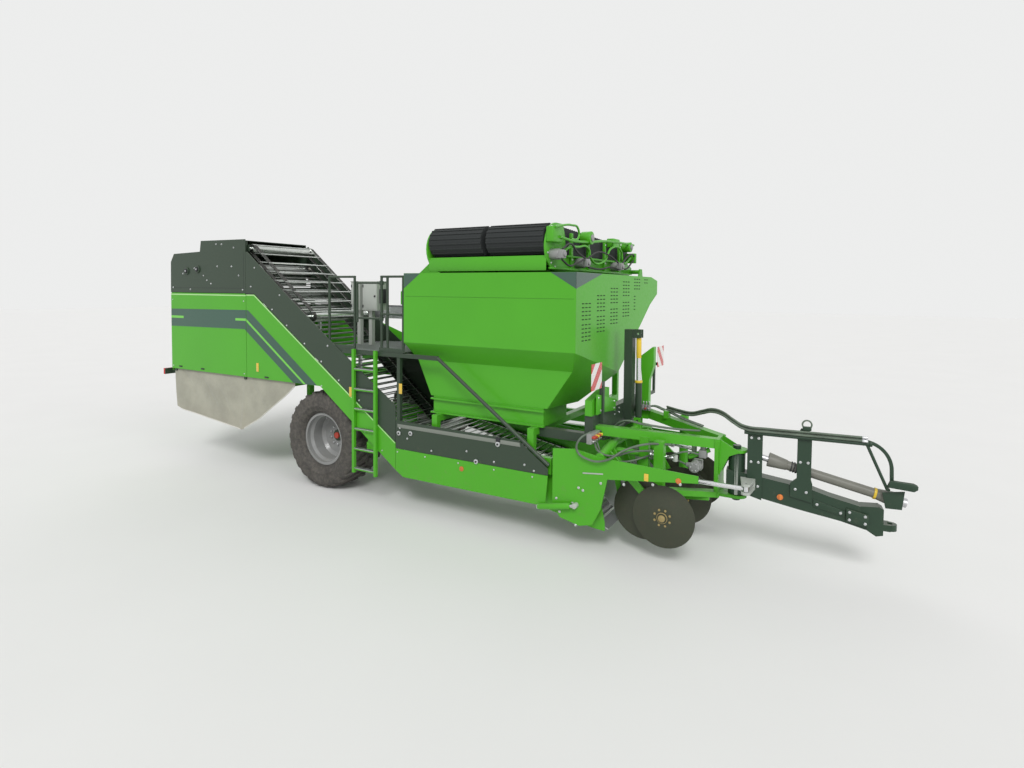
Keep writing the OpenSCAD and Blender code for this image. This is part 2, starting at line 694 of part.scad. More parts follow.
steer_r = 36;
steer_share = 0.55;
module steer_barrel() place() color(black) {
  barrel(steer_a, steer_b, steer_r, steer_share);
  translate(steer_a - [0, 0, 34]) cylinder(r = 34, h = 68);
  translate(steer_a) cylinder(r = lug_pin_r - running, h = 90);
}
module steer_rod() place() color(steel) {
  piston(steer_a, steer_b, steer_r, steer_share, 300);
  translate(steer_b - [0, 0, 25]) cylinder(r = 30, h = 50);
}

// ---------- Parking leg ----------

leg_r = 40;
module parking_leg_tube() place() color(green) difference() {
  union() {
    translate([leg[0], leg[1], 620]) cylinder(r = leg_tube_r, h = 700);
    for (z = [1180 - seat - 20, 1240 + seat]) translate([leg[0], leg[1], z]) cylinder(r = leg_tube_r + 10, h = 20);
  }
  translate([leg[0], leg[1], 600]) cylinder(r = leg_r + running, h = 800);
}
module parking_leg() place() color(steel) {
  translate([leg[0], leg[1], 0]) cylinder(r = leg_r, h = 1200);
  block([leg[0] - 110, leg[1] - 75, 0], [leg[0] + 110, leg[1] + 75, 15]);
}

// ---------- Digging unit ----------

plate_right = side_in + 8;
plate_left = channel_left + 30;
plate_w = 14;
arch_x = 4180;
arch_r = 50;
// Height of the arched cross tube over y
arch = [[plate_right + 7, 1060], [-1000, 1140], [-100, 1140], [plate_left + 7, 1060]];
row_y = [row_mid - row_pitch / 2, row_mid + row_pitch / 2];
// Hubs of the discs: station, and place across the machine
disc_places = [
  [disc_x, row_mid - row_pitch], [disc_x - 245, row_mid - row_pitch + 110],
  [disc_x, row_mid], [disc_x - 245, row_mid + row_pitch - 110], [disc_x, row_mid + row_pitch],
];
disc_shaft_r = 20;
disc_arm = [40, 70];
roller_x = 4290;
roller_z = 620;
roller_arm = [12, 28];
ridge_r = 190;
pivot_r = 30;
lift_top = [4190, 2290];
lift_foot = [4200, 1240];
lift_pin_r = 15;

// Underside of the shares at x
function share_z(x) = nose_z - 90 - (x - nose_x - 75) * 40 / 110;

channel_outline = [
  [1380, 760], [nose_x, nose_z - 140], [nose_x + 150, nose_z - 150], [nose_x + 150, nose_z - 60],
  [nose_x + 90, nose_z + 200], [3720, 900], [1380, 1060],
];
plate_outline = [
  [3640, 470], [3730, 350], [3960, 300], [4110, 340], [4200, 520], [4270, 850], [5190, 965],
  [5190, 1035], [4250, 1065], [3900, 1120], [3640, 1090],
];

module digging_frame() place() color(green) {
  for (y = [channel_right, channel_left]) side_sheet(channel_outline, y, channel_wall);
  for (y = [plate_right, plate_left]) side_sheet(plate_outline, y, plate_w);
  for (x = [3650, 3950]) {
    block([x, plate_right + weld, 640], [x + 70, channel_right + weld, 700]);
    block([x, channel_left + channel_wall - weld, 640], [x + 70, plate_left + weld, 700]);
  }
  // Pivots in the side beams
  tube_y(channel_pivot_x, right_beam_y + 25, channel_right + weld, channel_pivot_z, pivot_r - running);
  tube_y(channel_pivot_x, channel_left + channel_wall - weld, left_beam_y + 45, channel_pivot_z, pivot_r - running);
  // Arched cross tube with the arms of the discs and rollers
  for (i = [0 : 2])
    rod([arch_x, arch[i][0], arch[i][1]], [arch_x, arch[i + 1][0], arch[i + 1][1]], arch_r);
  for (i = [1, 2]) translate([arch_x, arch[i][0], arch[i][1]]) sphere(r = arch_r + weld);
  for (p = disc_places) {
    s = p[1] > row_mid ? -1 : 1;
    y = p[1] + s * (disc_arm[0] + disc_arm[1]) / 2;
    beam([arch_x, y, lookup(y, arch)], [p[0] - 5, y, disc_z], disc_arm[1] - disc_arm[0], 70);
    tube_y(p[0], p[1] + (s > 0 ? -14 : -disc_arm[1] + 5), p[1] + (s > 0 ? disc_arm[1] - 5 : 14), disc_z,
      disc_shaft_r - running);
  }
  for (y = row_y, s = [-1, 1]) {
    a = y + s * (roller_w + roller_arm[0] + roller_arm[1]) / 2;
    beam([arch_x, a, lookup(a, arch)], [roller_x, a, roller_z], roller_arm[1] - roller_arm[0], 60);
  }
  for (y = row_y)
    tube_y(roller_x, y - roller_w / 2 - roller_arm[1] + 2, y + roller_w / 2 + roller_arm[1] - 2, roller_z,
      disc_shaft_r - running);
  for (y = [-46, 34]) difference() {
    block([lift_foot[0] - 45, lift_y + y, arch[1][1]], [lift_foot[0] + 40, lift_y + y + 12, lift_foot[1] + 40]);
    tube_y(lift_foot[0], lift_y + y - 5, lift_y + y + 20, lift_foot[1], lift_pin_r);
  }
  // Bar that the shares are bolted on
  side_sheet([
    [nose_x + 90, nose_z - 145], [nose_x + 135, nose_z - 145],
    [nose_x + 135, share_z(nose_x + 135) - seat], [nose_x + 90, share_z(nose_x + 90) - seat],
  ], channel_right, channel_left + channel_wall - channel_right);
}

module shares() place() color(steel)
  for (y = [[channel_right + channel_wall + seat, row_mid - 45], [row_mid + 45, channel_left - seat]])
    side_sheet([
      [nose_x + 75, share_z(nose_x + 75)], [nose_x + 185, share_z(nose_x + 185)],
      [nose_x + 190, share_z(nose_x + 185) + 10], [nose_x + 79, share_z(nose_x + 75) + 18],
    ], y[0], y[1] - y[0]);

module first_web() place() color(black) {
  c = [[nose_x, nose_z], [channel_pivot_x, channel_pivot_z]];
  web(c, roller_r, channel_right + channel_wall + 6, channel_left - 6, bar_pitch);
  for (p = c) tube_y(p[0], channel_right + channel_wall, channel_left, p[1], 25);
}

module disc(i) place() color(steel) {
  p = disc_places[i];
  s = p[1] > row_mid ? -1 : 1;
  translate([p[0], p[1], disc_z]) rotate([s * 90, 0, 0]) difference() {
    rotate_extrude($fn = 64) polygon([
      [0, -25], [45, -25], [45, -3], [120, 0], [disc_r, -34], [disc_r, -30],
      [120, 6], [50, 8], [50, 20], [0, 20],
    ]);
    translate([0, 0, -40]) cylinder(r = disc_shaft_r, h = 55);
  }
}
module disc_1() disc(0);
module disc_2() disc(1);
module disc_3() disc(2);
module disc_4() disc(3);
module disc_5() disc(4);

// Roller that narrows to its middle and rides on the ridge
module ridge_roller(y) place() color(steel)
  translate([roller_x, y, roller_z]) rotate([90, 0, 0]) rotate_extrude($fn = 48) polygon([
    [disc_shaft_r, -roller_w / 2], [ridge_r, -roller_w / 2], [ridge_r, -roller_w / 2 + 30], [110, -40],
    [110, 40], [ridge_r, roller_w / 2 - 30], [ridge_r, roller_w / 2], [disc_shaft_r, roller_w / 2],
  ]);
module ridge_roller_1() ridge_roller(row_y[0]);
module ridge_roller_2() ridge_roller(row_y[1]);

lift_r = 40;
lift_share = 0.45;
lift_p = [lift_foot[0], lift_y, lift_foot[1]];
lift_q = [lift_top[0], lift_y, lift_top[1]];
module lift_barrel() place() color(black) {
  barrel(lift_p, lift_q, lift_r, lift_share);
  tube_y(lift_foot[0], lift_y - 32, lift_y + 32, lift_foot[1], 32);
  tube_y(lift_foot[0], lift_y - 46, lift_y + 46, lift_foot[1], lift_pin_r - running);
}
module lift_rod() place() color(steel) {
  piston(lift_p, lift_q, lift_r, lift_share, 400);
  tube_y(lift_top[0], lift_y - 30, lift_y + 30, lift_top[1], 28);
}

// ---------- Elevator and right side ----------

web_low = [1240, 800];
web_high = [-1600, 3090];
post_in = post_y + rear_post + seat;
module second_web() place() color(black) {
  web([web_high, web_low], roller_r, channel_right, elevator_left - 8, bar_pitch);
  tube_y(web_low[0], right_beam_y + side_beam_w + seat, elevator_left, web_low[1], 25);
  tube_y(web_high[0], post_in, elevator_left, web_high[1], 25);
}

haulm_low = [-280, 2400];
haulm_high = [-1560, 3400];
module haulm_web() place() color(steel) {
  web([haulm_high, haulm_low], 60, channel_right, elevator_left - 8, haulm_pitch);
  tube_y(haulm_low[0], side_in, elevator_left, haulm_low[1], 20);
  tube_y(haulm_high[0], post_in, elevator_left, haulm_high[1], 20);
}

elevator_top = [[1425, 1330], [260, 2100], [-740, 2800], [-1470, 3340]];
module elevator_sides() place() color(dark) {
  side_sheet(concat([[-1508, 2712], [-1310, 2712], [548, 1458], [1425, 860]], elevator_top, [[-1508, 3340]]),
    -side_y, sheet);
  side_sheet(concat(
    [[-1500, 2866], [1150, 730], [1240, 700], [1340, 720], [1340, 1000], [1425, 1000]],
    elevator_top, [[-1640, 3500], [-1700, 3480], [-1700, 2990], [-1640, 2940]]
  ), elevator_left, sheet);
}

module side_panel() place() color(green)
  side_sheet([
    [-1500, 1455], [70, 1455], [1424, 505], [1424, 852], [540, 1450], [-1318, 2702], [-1500, 2702],
  ], -side_y, sheet);

module skirt() place() color(green)
  side_sheet([[1430, 500], [1550, 430], [3560, 440], [3590, 780], [1430, 780]], -side_y, sheet);

module skirt_band() place() color(dark)
  side_sheet([[1430, 784], [3590, 784], [3590, 857], [3280, 1078], [3220, 1120], [1430, 1140]], -side_y, sheet);

// ---------- Rear housing ----------

rear_x0 = -3450;
housing_front = -2400;
door_gap = 6;
door_x = [rear_x0 + 4, -1508];
module rear_door() place() color(green) difference() {
  union() {
    block([door_x[0], -side_y, 1455], [door_x[1], -side_y + sheet, door_pin_z - 4]);
    tube_x(door_x[0] + 18, door_x[1] - 18, door_pin_y, door_pin_z, 6);
  }
  tube_x(door_x[0] - 1, door_x[1] + 1, door_pin_y, door_pin_z, door_pin_r);
  for (x = [door_x[0] - 1, door_x[1] - 17])
    block([x, -side_y - 1, door_pin_z - 9], [x + 18, side_in + 1, door_pin_z + 9]);
}

cover_z = door_pin_z + 12;
cover_left_z = 2830;
module rear_covers() place() color(dark) {
  top = [[-2610, 3540], [-2640, 3370], [-3350, 3350], [rear_x0 + 10, 3220]];
  left = elevator_left + sheet;
  side_sheet(concat([[rear_x0, cover_z], [-1512, cover_z], [-1512, 3530]], top), -side_y, sheet);
  side_sheet(concat([[rear_x0 + sheet + seat, cover_left_z], [-1704, cover_left_z], [-1704, 3530]], top),
    elevator_left, sheet);
  block([-3350, side_in - weld, 3340], [-2640, left - weld, 3350]);
  block([-2612, side_in - weld, 3520], [-1710, left - weld, 3530]);
  block([-2620, side_in - weld, 3341], [-2612, left - weld, 3530]);
  block([-2645, side_in - weld, 3341], [-2611, left - weld, 3349]);
  side_sheet([[rear_x0 + 10, 3220], [rear_x0 + 19, 3218], [-3342, 3342], [-3350, 3350]],
    side_in - weld, left - side_in);
}

module rear_housing() place() color(green) {
  right = side_in + door_gap;
  left = elevator_left + sheet;
  cross_sheet([[right, 1420], [left_y, 1420], [left_y, roof_z], [left, roof_z], [left, 3210], [right, 3210]],
    rear_x0, sheet);
  side_sheet([
    [rear_x0, 1420], [-720, 1420], [-720, 1900], [housing_front, roof_z], [rear_x0, roof_z],
  ], left_y - sheet, sheet);
  block([rear_x0, inner_post_y + rear_post + seat, roof_z - sheet], [housing_front, left_y, roof_z]);
}

conveyor_y = [600, -1240];
conveyor_z = 2712;
conveyor_x = [-3220, -1740];
module cross_conveyor() place() color(black) {
  c = [[conveyor_y[0], conveyor_z], [conveyor_y[1], conveyor_z]];
  rotate([0, 0, 90]) belt(c, 80, belt_t, -conveyor_x[1] + sheet + 8, -conveyor_x[0] - sheet - 8);
  for (p = c) tube_x(conveyor_x[0] + weld, conveyor_x[1] - weld, p[0], p[1], 25);
  for (x = [conveyor_x[0], conveyor_x[1] - sheet])
    block([x, conveyor_y[1] - 160, rail_low[1] + seat], [x + sheet, conveyor_y[0] + 50, conveyor_z + 100]);
}

module cloth_skirt() place() color([0.6, 0.6, 0.56])
  side_sheet([
    [-3430, 1408], [-3360, 820], [-3250, 780], [-1680, 620], [-1280, 830], [-650, 1260], [-478, 1408],
  ], cloth_in - 16, 16);

// ---------- Platform ----------

deck_z = 2000;
deck_under = deck_z - 8;
deck_x = [200, 1540];
deck_left = -90;
module platform() place() color(dark) {
  deck_sheet([
    [deck_x[0], side_in + seat], [deck_x[1], side_in + seat], [deck_x[1], deck_left], [450, deck_left],
    [450, -280], [deck_x[0], -280],
  ], deck_under, 8);
  block([510, -side_y, deck_under - 52], [2080, -side_y + 40, deck_under + weld]);
  for (x = [520, 960, 1440])
    block([x, -side_y + 39, deck_under - 50], [x + 50, deck_left, deck_under + weld]);
  block([deck_x[0], -320, deck_under - 50], [deck_x[1], -280, deck_under + weld]);
  block([1440, side_in + seat, side_beam_z[0] + 20], [1490, right_beam_y - seat, deck_under - 49]);
  // Post on the picking table's frame
  block([1200, deck_left - 40, table_bar_z[1] + seat], [1250, deck_left, deck_under + weld]);
  block([1200, elevator_left + sheet + seat, 1410], [1250, deck_left - 39, 1450]);
  // Tube down to the front of the side beam
  rod([2070, -side_y + 22, deck_z - 30], [3590, -side_y + 22, 890], 22);
  block([3540, -side_y + 22, 875], [3580, right_beam_y - seat, 915]);
}

rail_x = [230, 700, 1170, 1270, 1530];
rail_z = [2480, 2960];
rail_r = 17;
rail_line = -side_y + 28;
module railing() place() color(dark) {
  for (x = rail_x) translate([x, rail_line, deck_z]) cylinder(r = rail_r, h = rail_z[1] - deck_z);
  for (z = rail_z) {
    tube_x(rail_x[0], rail_x[1], rail_line, z, rail_r - 2);
    tube_x(rail_x[2], rail_x[4], rail_line, z, rail_r - 2);
  }
}
gate_z = [2420, 2880];
module gate() place() color(dark) difference() {
  union() {
    for (z = gate_z) {
      tube_x(rail_x[1] + 45, rail_x[2], rail_line, z, 14);
      translate([rail_x[2], rail_line, z - 25]) cylinder(r = 27, h = 50);
    }
    translate([rail_x[1] + 45, rail_line, gate_z[0] - 60]) cylinder(r = 16, h = gate_z[1] - gate_z[0] + 80);
  }
  translate([rail_x[2], rail_line, deck_z]) cylinder(r = rail_r + running, h = 1200);
}

ladder_x = [735, 1115];
rung_pitch = 264;
module ladder() place() color(green) {
  for (x = ladder_x) {
    block([x - 20, ladder_y, 370], [x + 20, -side_y - 10, deck_z + 10]);
    for (z = [1110, 1440, 1945]) block([x - 15, -side_y - 11, z], [x + 15, -side_y - seat, z + 40]);
  }
  for (i = [0 : 5]) tube_x(ladder_x[0], ladder_x[1], (ladder_y - side_y - 10) / 2, 420 + i * rung_pitch, 14);
}

// Cabinets on posts: from and to along the machine
cabinet_x = [[210, 370], [430, 700]];
cabinet_y = [-1000, -800];
module cabinets() place() color(light)
  for (x = cabinet_x) {
    block([x[0], cabinet_y[0], 2500], [x[1], cabinet_y[1], 2900]);
    block([x[0] + 50, cabinet_y[0] + 70, deck_z], [x[0] + 110, cabinet_y[0] + 130, 2500 + weld]);
  }

table_x = [-2300, 1350];
table_z = [2340, 2520];
table_belt_z = 2420;
module picking_table() place() color(steel) {
  for (y = [table_y[0], table_y[1] - 20]) block([table_x[0], y, table_z[0]], [table_x[1], y + 20, table_z[1]]);
  c = [[table_x[1] - 90, table_belt_z], [table_x[0] + 80, table_belt_z]];
  belt(c, 45, belt_t, table_y[0] + 24, table_y[1] - 24);
  for (p = c) tube_y(p[0], table_y[0] + 19, table_y[1] - 19, p[1], 20);
  for (x = table_bar_x) {
    block([x, table_y[0], table_bar_z[1] + seat], [x + 50, table_y[0] + 40, table_z[0] + weld]);
    block([x, 600, upper_z[1] + seat], [x + 50, 640, table_z[0] - 39]);
    block([x, table_y[0], table_z[0] - 40], [x + 50, table_y[1], table_z[0] + weld]);
  }
}

// Belt that lifts the sorted potatoes from the table into the bunker
module filling_elevator() place() color(green) {
  for (y = [table_y[0], table_y[1] - 10]) {
    side_sheet([
      [300, table_z[1] + 40], [500, table_z[1] + 40], [1200, 3180], [1800, 3180], [1800, 3380],
      [1100, 3380], [300, 2760],
    ], y, 10);
    block([330, y, table_z[1] + seat], [400, y + 10, table_z[1] + 41]);
    block([bunker_rear, y, bunker_top + seat], [bunker_rear + 60, y + 10, 3181]);
  }
  c = [[1720, 3275], [1150, 3275], [400, 2640]];
  belt(c, 40, belt_t, table_y[0] + 15, table_y[1] - 15);
  for (p = [c[0], c[2]]) tube_y(p[0], table_y[0] + 9, table_y[1] - 9, p[1], 20);
}

// ---------- Bunker ----------

trough_x = [1880, 3430];
trough_y = [-1250, -640];
trough_z = [bunker_frame_z[1] + seat, 1470];
// Cross section of the bunker, across and up
bunker_section = [
  [-side_y, bunker_top], [-side_y, bunker_crease], [trough_y[0], 1910], [trough_y[0], trough_z[1]],
  [trough_y[1], trough_z[1]], slope_b, slope_c, [left_y - 60, bunker_top - 50], [1150, bunker_top],
];

// The bunker inside walls of thickness w, its ends sloping in below the crease
module bunker_body(w) difference() {
  translate([bunker_rear + w, 0, 0]) rotate([90, 0, 90]) linear_extrude(bunker_front - bunker_rear - 2 * w)
    polygon(grown(bunker_section, -w));
  half_space([bunker_front - w * 1.2, -side_y, bunker_crease], [680, -124, -470]);
  half_space([bunker_rear + w * 1.2, -side_y, bunker_crease], [-680, -124, -320]);
}

hinge_x = [1870, 3670];
module bunker() place() color(green) {
  difference() {
    bunker_body(0);
    bunker_body(bunker_wall);
    block([bunker_rear + bunker_wall, -side_y + bunker_wall, bunker_top - 300],
      [bunker_front - bunker_wall, 1140, bunker_top + 100]);
    block([trough_x[0] + 60, trough_y[0] + 20, trough_z[1] - 50], [trough_x[1] - 60, trough_y[1] - 20, trough_z[1] + 50]);
  }
  for (x = hinge_x) difference() {
    cross_sheet([
      [fold_y - 100, bunker_top - 30], [fold_y + 90, bunker_top - 44], [fold_y + 45, fold_z + 40],
      [fold_y - 45, fold_z + 40],
    ], x, 20);
    tube_x(x - 1, x + 21, fold_y, fold_z, 30 + running);
  }
}

module bunker_trough() place() color(green) {
  t = 8;
  difference() {
    block([trough_x[0], trough_y[0], trough_z[0]], [trough_x[1], trough_y[1], trough_z[1] - seat]);
    block([trough_x[0] + t, trough_y[0] + t, trough_z[0] + t], [trough_x[1] - t, trough_y[1] - t, trough_z[1] + t]);
  }
  for (z = [trough_z[0], trough_z[1] - 40])
    block([trough_x[0] - 20, trough_y[0] - 40, z], [trough_x[1] + 20, trough_y[0] + weld, z + 20]);
}

// ---------- Discharge conveyor ----------

// Pressed side plates: stations, and the outline across and up with its rounded near end
discharge_x = [1900, 3610];
discharge_w = 30;
press_t = 8;
near_end = [-1170, discharge_z - 80];
near_r = 270;
near_y = fold_y - 200;
discharge_outline = concat(
  [[fold_y - 90, fold_z - 60], [fold_y + 35, fold_z - 35],
    [fold_y + 45, fold_z + 60], [near_y + 60, discharge_z + 70]],
  arc(near_end, near_r, 90, 270, 8)
);
module discharge_frame() place() color(green) {
  for (k = [0, 1]) difference() {
    cross_sheet(discharge_outline, discharge_x[k], discharge_w);
    cross_sheet(grown(discharge_outline, -14), discharge_x[k] + (k == 0 ? -1 : press_t), discharge_w - press_t + 1);
    for (y = [-900, -350, 200])
      cross_sheet([
        [y, 3160], [y + 330, 3160], [y + 370, 3200], [y + 370, 3330], [y + 330, 3370], [y, 3370],
        [y - 40, 3330], [y - 40, 3200],
      ], discharge_x[k] - 1, discharge_w + 2);
  }
  span = [discharge_x[0] + discharge_w - weld, discharge_x[1] + weld];
  for (p = [[-700, 3072], [200, 3060]]) tube_x(span[0], span[1], p[0], p[1], 22);
  block([span[0], -1400, 3020], [span[1], -1392, 3185]);
  tube_x(hinge_x[0] - 6, hinge_x[1] + 26, fold_y, fold_z, 30);
}
module discharge_belt() place() color(black) {
  c = [[near_y, discharge_z - 110], [-1270, discharge_z]];
  for (x = [[1945, 2755], [2775, 3585]])
    rotate([0, 0, 90]) belt(c, discharge_r - belt_t, belt_t, -x[1], -x[0]);
  for (p = c) tube_x(discharge_x[0] + discharge_w, discharge_x[1], p[0], p[1], 40);
}

// ---------- Plates and lamps ----------

module warning_plates() place() color([0.9, 0.9, 0.9])
  for (y = plate_y) block([plate_x - 10, y, plate_z[0]], [plate_x - 4, y + 282, plate_z[1]]);

module rear_lamps() place() color([0.7, 0.1, 0.08])
  for (y = [-side_y, left_y - 350]) {
    block([rear_x, y, 1330], [rear_x + 40, y + 300, 1430]);
    block([rear_x + 39, y + 130, 1350], [cross_bar_x[0] - seat, y + 170, 1410]);
  }

chassis();
front_frame();
cross_beam();
rear_frame();
axle();
knuckle_right();
knuckle_left();
tyre_right();
rim_right();
tyre_left();
rim_left();
drawbar();
hitch_head();
hose_hoop();
hose_bundle();
pto_guard();
pto_shaft();
steer_barrel();
steer_rod();
parking_leg_tube();
parking_leg();
digging_frame();
shares();
first_web();
disc_1();
disc_2();
disc_3();
disc_4();
disc_5();
ridge_roller_1();
ridge_roller_2();
lift_barrel();
lift_rod();
second_web();
haulm_web();
elevator_sides();
skirt();
skirt_band();
side_panel();
rear_door();
rear_covers();
rear_housing();
cross_conveyor();
cloth_skirt();
platform();
railing();
gate();
ladder();
cabinets();
picking_table();
filling_elevator();
bunker();
bunker_trough();
discharge_frame();
discharge_belt();
warning_plates();
rear_lamps();
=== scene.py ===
"""Looks of a trailed two-row potato harvester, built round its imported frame.

Lengths are in metres. Stations along the machine count forwards from the axle,
and at() turns them into the frame's own coordinates.
"""

import math
import random

import bpy
from mathutils import Matrix, Vector


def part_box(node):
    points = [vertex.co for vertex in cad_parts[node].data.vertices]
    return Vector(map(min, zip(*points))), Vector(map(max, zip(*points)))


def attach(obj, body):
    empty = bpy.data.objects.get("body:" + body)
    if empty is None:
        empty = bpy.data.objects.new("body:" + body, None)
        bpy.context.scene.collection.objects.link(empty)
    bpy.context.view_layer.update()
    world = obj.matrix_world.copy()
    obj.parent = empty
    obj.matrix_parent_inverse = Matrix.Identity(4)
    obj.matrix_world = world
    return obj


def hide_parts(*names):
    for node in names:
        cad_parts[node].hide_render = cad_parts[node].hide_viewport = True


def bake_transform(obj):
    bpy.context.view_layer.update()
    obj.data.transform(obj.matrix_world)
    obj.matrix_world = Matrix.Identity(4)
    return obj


bl_info = {
    "name": "Potato harvester looks",
    "version": (1, 0, 0),
    "blender": (4, 5, 0),
    "location": "View3D > Sidebar > Harvester",
    "description": "Dresses the harvester's frame with its finishes, tread, cloth, hoses and trim",
    "category": "Object",
}

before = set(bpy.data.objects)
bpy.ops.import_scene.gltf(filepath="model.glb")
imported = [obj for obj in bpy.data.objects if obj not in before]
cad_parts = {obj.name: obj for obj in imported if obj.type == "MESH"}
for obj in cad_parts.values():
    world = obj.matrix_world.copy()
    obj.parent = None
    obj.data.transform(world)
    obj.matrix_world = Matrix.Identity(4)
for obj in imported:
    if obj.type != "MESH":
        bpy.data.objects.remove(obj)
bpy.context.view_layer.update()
axle_x = sum(corner.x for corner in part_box("axle")) / 2
side_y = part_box("side_panel")[0].y
hub_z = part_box("tyre_right")[1].z / 2
wheel_y = (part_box("tyre_right")[0].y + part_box("tyre_right")[1].y) / 2
RIGHT = Vector((0, -1, 0))
FRONT = Vector((1, 0, 0))
UP = Vector((0, 0, 1))
ELEVATOR_LEFT = -0.15
DRAWBAR_PIN = Vector((5.4, -0.6, 0))
DRAWBAR_YAW = math.radians(7)
HOSE_SIDE = -0.1223
HOSE_HEIGHT = 1.36
HOSE_OFFSETS = ((-0.024, 0.024), (0.0, 0.034), (-0.014, 0.056))


def at(x, y, z):
    """A point at a station counted from the axle."""
    return Vector((axle_x + x, y, z))


# ---------- Modelling, as by hand ----------


def deselect():
    bpy.ops.object.select_all(action="DESELECT")


def select(*pieces):
    deselect()
    for piece in pieces:
        piece.select_set(True)
    bpy.context.view_layer.objects.active = pieces[0]


def settle(piece):
    """Puts a piece's place, turn and size into its mesh."""
    select(piece)
    bpy.ops.object.transform_apply(location=True, rotation=True, scale=True)
    return piece


def apply_modifier(piece, kind, **values):
    select(piece)
    bpy.ops.object.modifier_add(type=kind)
    modifier = piece.modifiers[-1]
    for name, value in values.items():
        setattr(modifier, name, value)
    bpy.ops.object.modifier_apply(modifier=modifier.name)
    return piece


def rounded(piece, width, segments=2):
    """Rounds every edge sharper than 30 degrees."""
    return apply_modifier(
        piece, "BEVEL", width=width, segments=segments, limit_method="ANGLE",
        angle_limit=math.radians(30),
    )


def block(low, high, bevel=0.0):
    low, high = Vector(low), Vector(high)
    deselect()
    bpy.ops.mesh.primitive_cube_add(size=1, location=(low + high) / 2)
    piece = bpy.context.object
    piece.scale = [abs(side) for side in high - low]
    settle(piece)
    return rounded(piece, bevel) if bevel else piece


def bar(start, end, radius, sides=16, bevel=0.0, top=None):
    """Round bar from start to end; top is the radius at its end."""
    start, end = Vector(start), Vector(end)
    run = end - start
    turn = run.to_track_quat("Z", "Y").to_euler()
    deselect()
    if top is None:
        bpy.ops.mesh.primitive_cylinder_add(
            vertices=sides, radius=radius, depth=run.length, location=(start + end) / 2, rotation=turn
        )
    else:
        bpy.ops.mesh.primitive_cone_add(
            vertices=sides, radius1=radius, radius2=top, depth=run.length,
            location=(start + end) / 2, rotation=turn,
        )
    piece = settle(bpy.context.object)
    return rounded(piece, bevel) if bevel else piece


def close_shell():
    """Points every face of the piece in edit mode outwards and leaves edit mode."""
    bpy.ops.mesh.select_all(action="SELECT")
    bpy.ops.mesh.normals_make_consistent(inside=False)
    bpy.ops.object.mode_set(mode="OBJECT")


def plate(outline, thickness, bevel=0.0):
    """Flat plate with the outline's corners, extruded by the vector thickness."""
    deselect()
    bpy.ops.mesh.primitive_circle_add(vertices=len(outline), fill_type="NGON")
    piece = bpy.context.object
    for vertex, corner in zip(piece.data.vertices, outline):
        vertex.co = corner
    bpy.ops.object.mode_set(mode="EDIT")
    bpy.ops.mesh.select_all(action="SELECT")
    bpy.ops.mesh.extrude_region_move(TRANSFORM_OT_translate={"value": thickness})
    close_shell()
    return rounded(piece, bevel) if bevel else piece


def side_plate(outline, proud=0.0012, sunk=0.001, bevel=0.0):
    """Plate on the right-hand side sheets, its outline given as stations and heights."""
    return plate([at(x, side_y + sunk, z) for x, z in outline], RIGHT * (proud + sunk), bevel)


def round_curve(radius, roundness, fill):
    """Round section drawn along a curve that fill lays out, turned into a mesh."""
    curve = bpy.data.curves.new("curve", "CURVE")
    curve.dimensions = "3D"
    curve.bevel_depth = radius
    curve.bevel_resolution = roundness
    curve.resolution_u = 8
    curve.use_fill_caps = True
    fill(curve.splines)
    piece = bpy.data.objects.new("curve", curve)
    bpy.context.scene.collection.objects.link(piece)
    select(piece)
    bpy.ops.object.convert(target="MESH")
    return bpy.context.object


def patch(x, z, half_length, half_height, proud, bevel=0.0):
    """Upright rectangle on the right-hand side sheets."""
    rear, front, low, high = x - half_length, x + half_length, z - half_height, z + half_height
    return side_plate([(rear, low), (front, low), (front, high), (rear, high)], proud, bevel=bevel)


def stud(x, z, base, top, radius, sides, bevel, finish):
    """Round boss on the right-hand side sheets, from base to top outside them."""
    return painted(bar(at(x, side_y - base, z), at(x, side_y - top, z), radius, sides, bevel), finish)


def pipe(points, radius, sides=5):
    """Pipe or hose that runs smoothly through the points."""
    def fill(splines):
        spline = splines.new("BEZIER")
        spline.bezier_points.add(len(points) - 1)
        for knot, point in zip(spline.bezier_points, points):
            knot.co = point
            knot.handle_left_type = knot.handle_right_type = "AUTO"

    return round_curve(radius, sides - 3, fill)


def laid_pipe(route, radius):
    """Pipe through places counted from the axle."""
    return pipe([at(*place) for place in route], radius)


def tube_frame(points, radius):
    """Welded tube with mitred corners along the points."""
    def fill(splines):
        spline = splines.new("POLY")
        spline.points.add(len(points) - 1)
        for knot, point in zip(spline.points, points):
            knot.co = (*point, 1)

    return round_curve(radius, 3, fill)


def join(pieces):
    pieces = list(pieces)
    select(*pieces)
    if len(pieces) > 1:
        bpy.ops.object.join()
    return bpy.context.view_layer.objects.active


def painted(piece, finish):
    piece.data.materials.clear()
    piece.data.materials.append(bpy.data.materials[finish])
    return piece


def copies(model, places):
    """One piece of a model repeated at each matrix, every copy with its own mesh."""
    made = []
    for place in places:
        copy = model.copy()
        copy.data = model.data.copy()
        copy.data.transform(place)
        bpy.context.scene.collection.objects.link(copy)
        made.append(copy)
    bpy.data.objects.remove(model)
    return join(made)


def facing(place, normal, spin=0.0):
    """Matrix that turns +Z to the normal, at a place."""
    turn = Vector(normal).to_track_quat("Z", "Y").to_matrix().to_4x4()
    return Matrix.Translation(place) @ turn @ Matrix.Rotation(spin, 4, "Z")


def dressed(piece, name, body, finish=None, angle=35):
    """Names a finished piece and hangs it on its body."""
    if finish:
        painted(piece, finish)
    piece.name = name
    piece.data.name = name
    select(piece)
    bpy.ops.object.shade_smooth_by_angle(angle=math.radians(angle))
    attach(piece, body)
    return piece


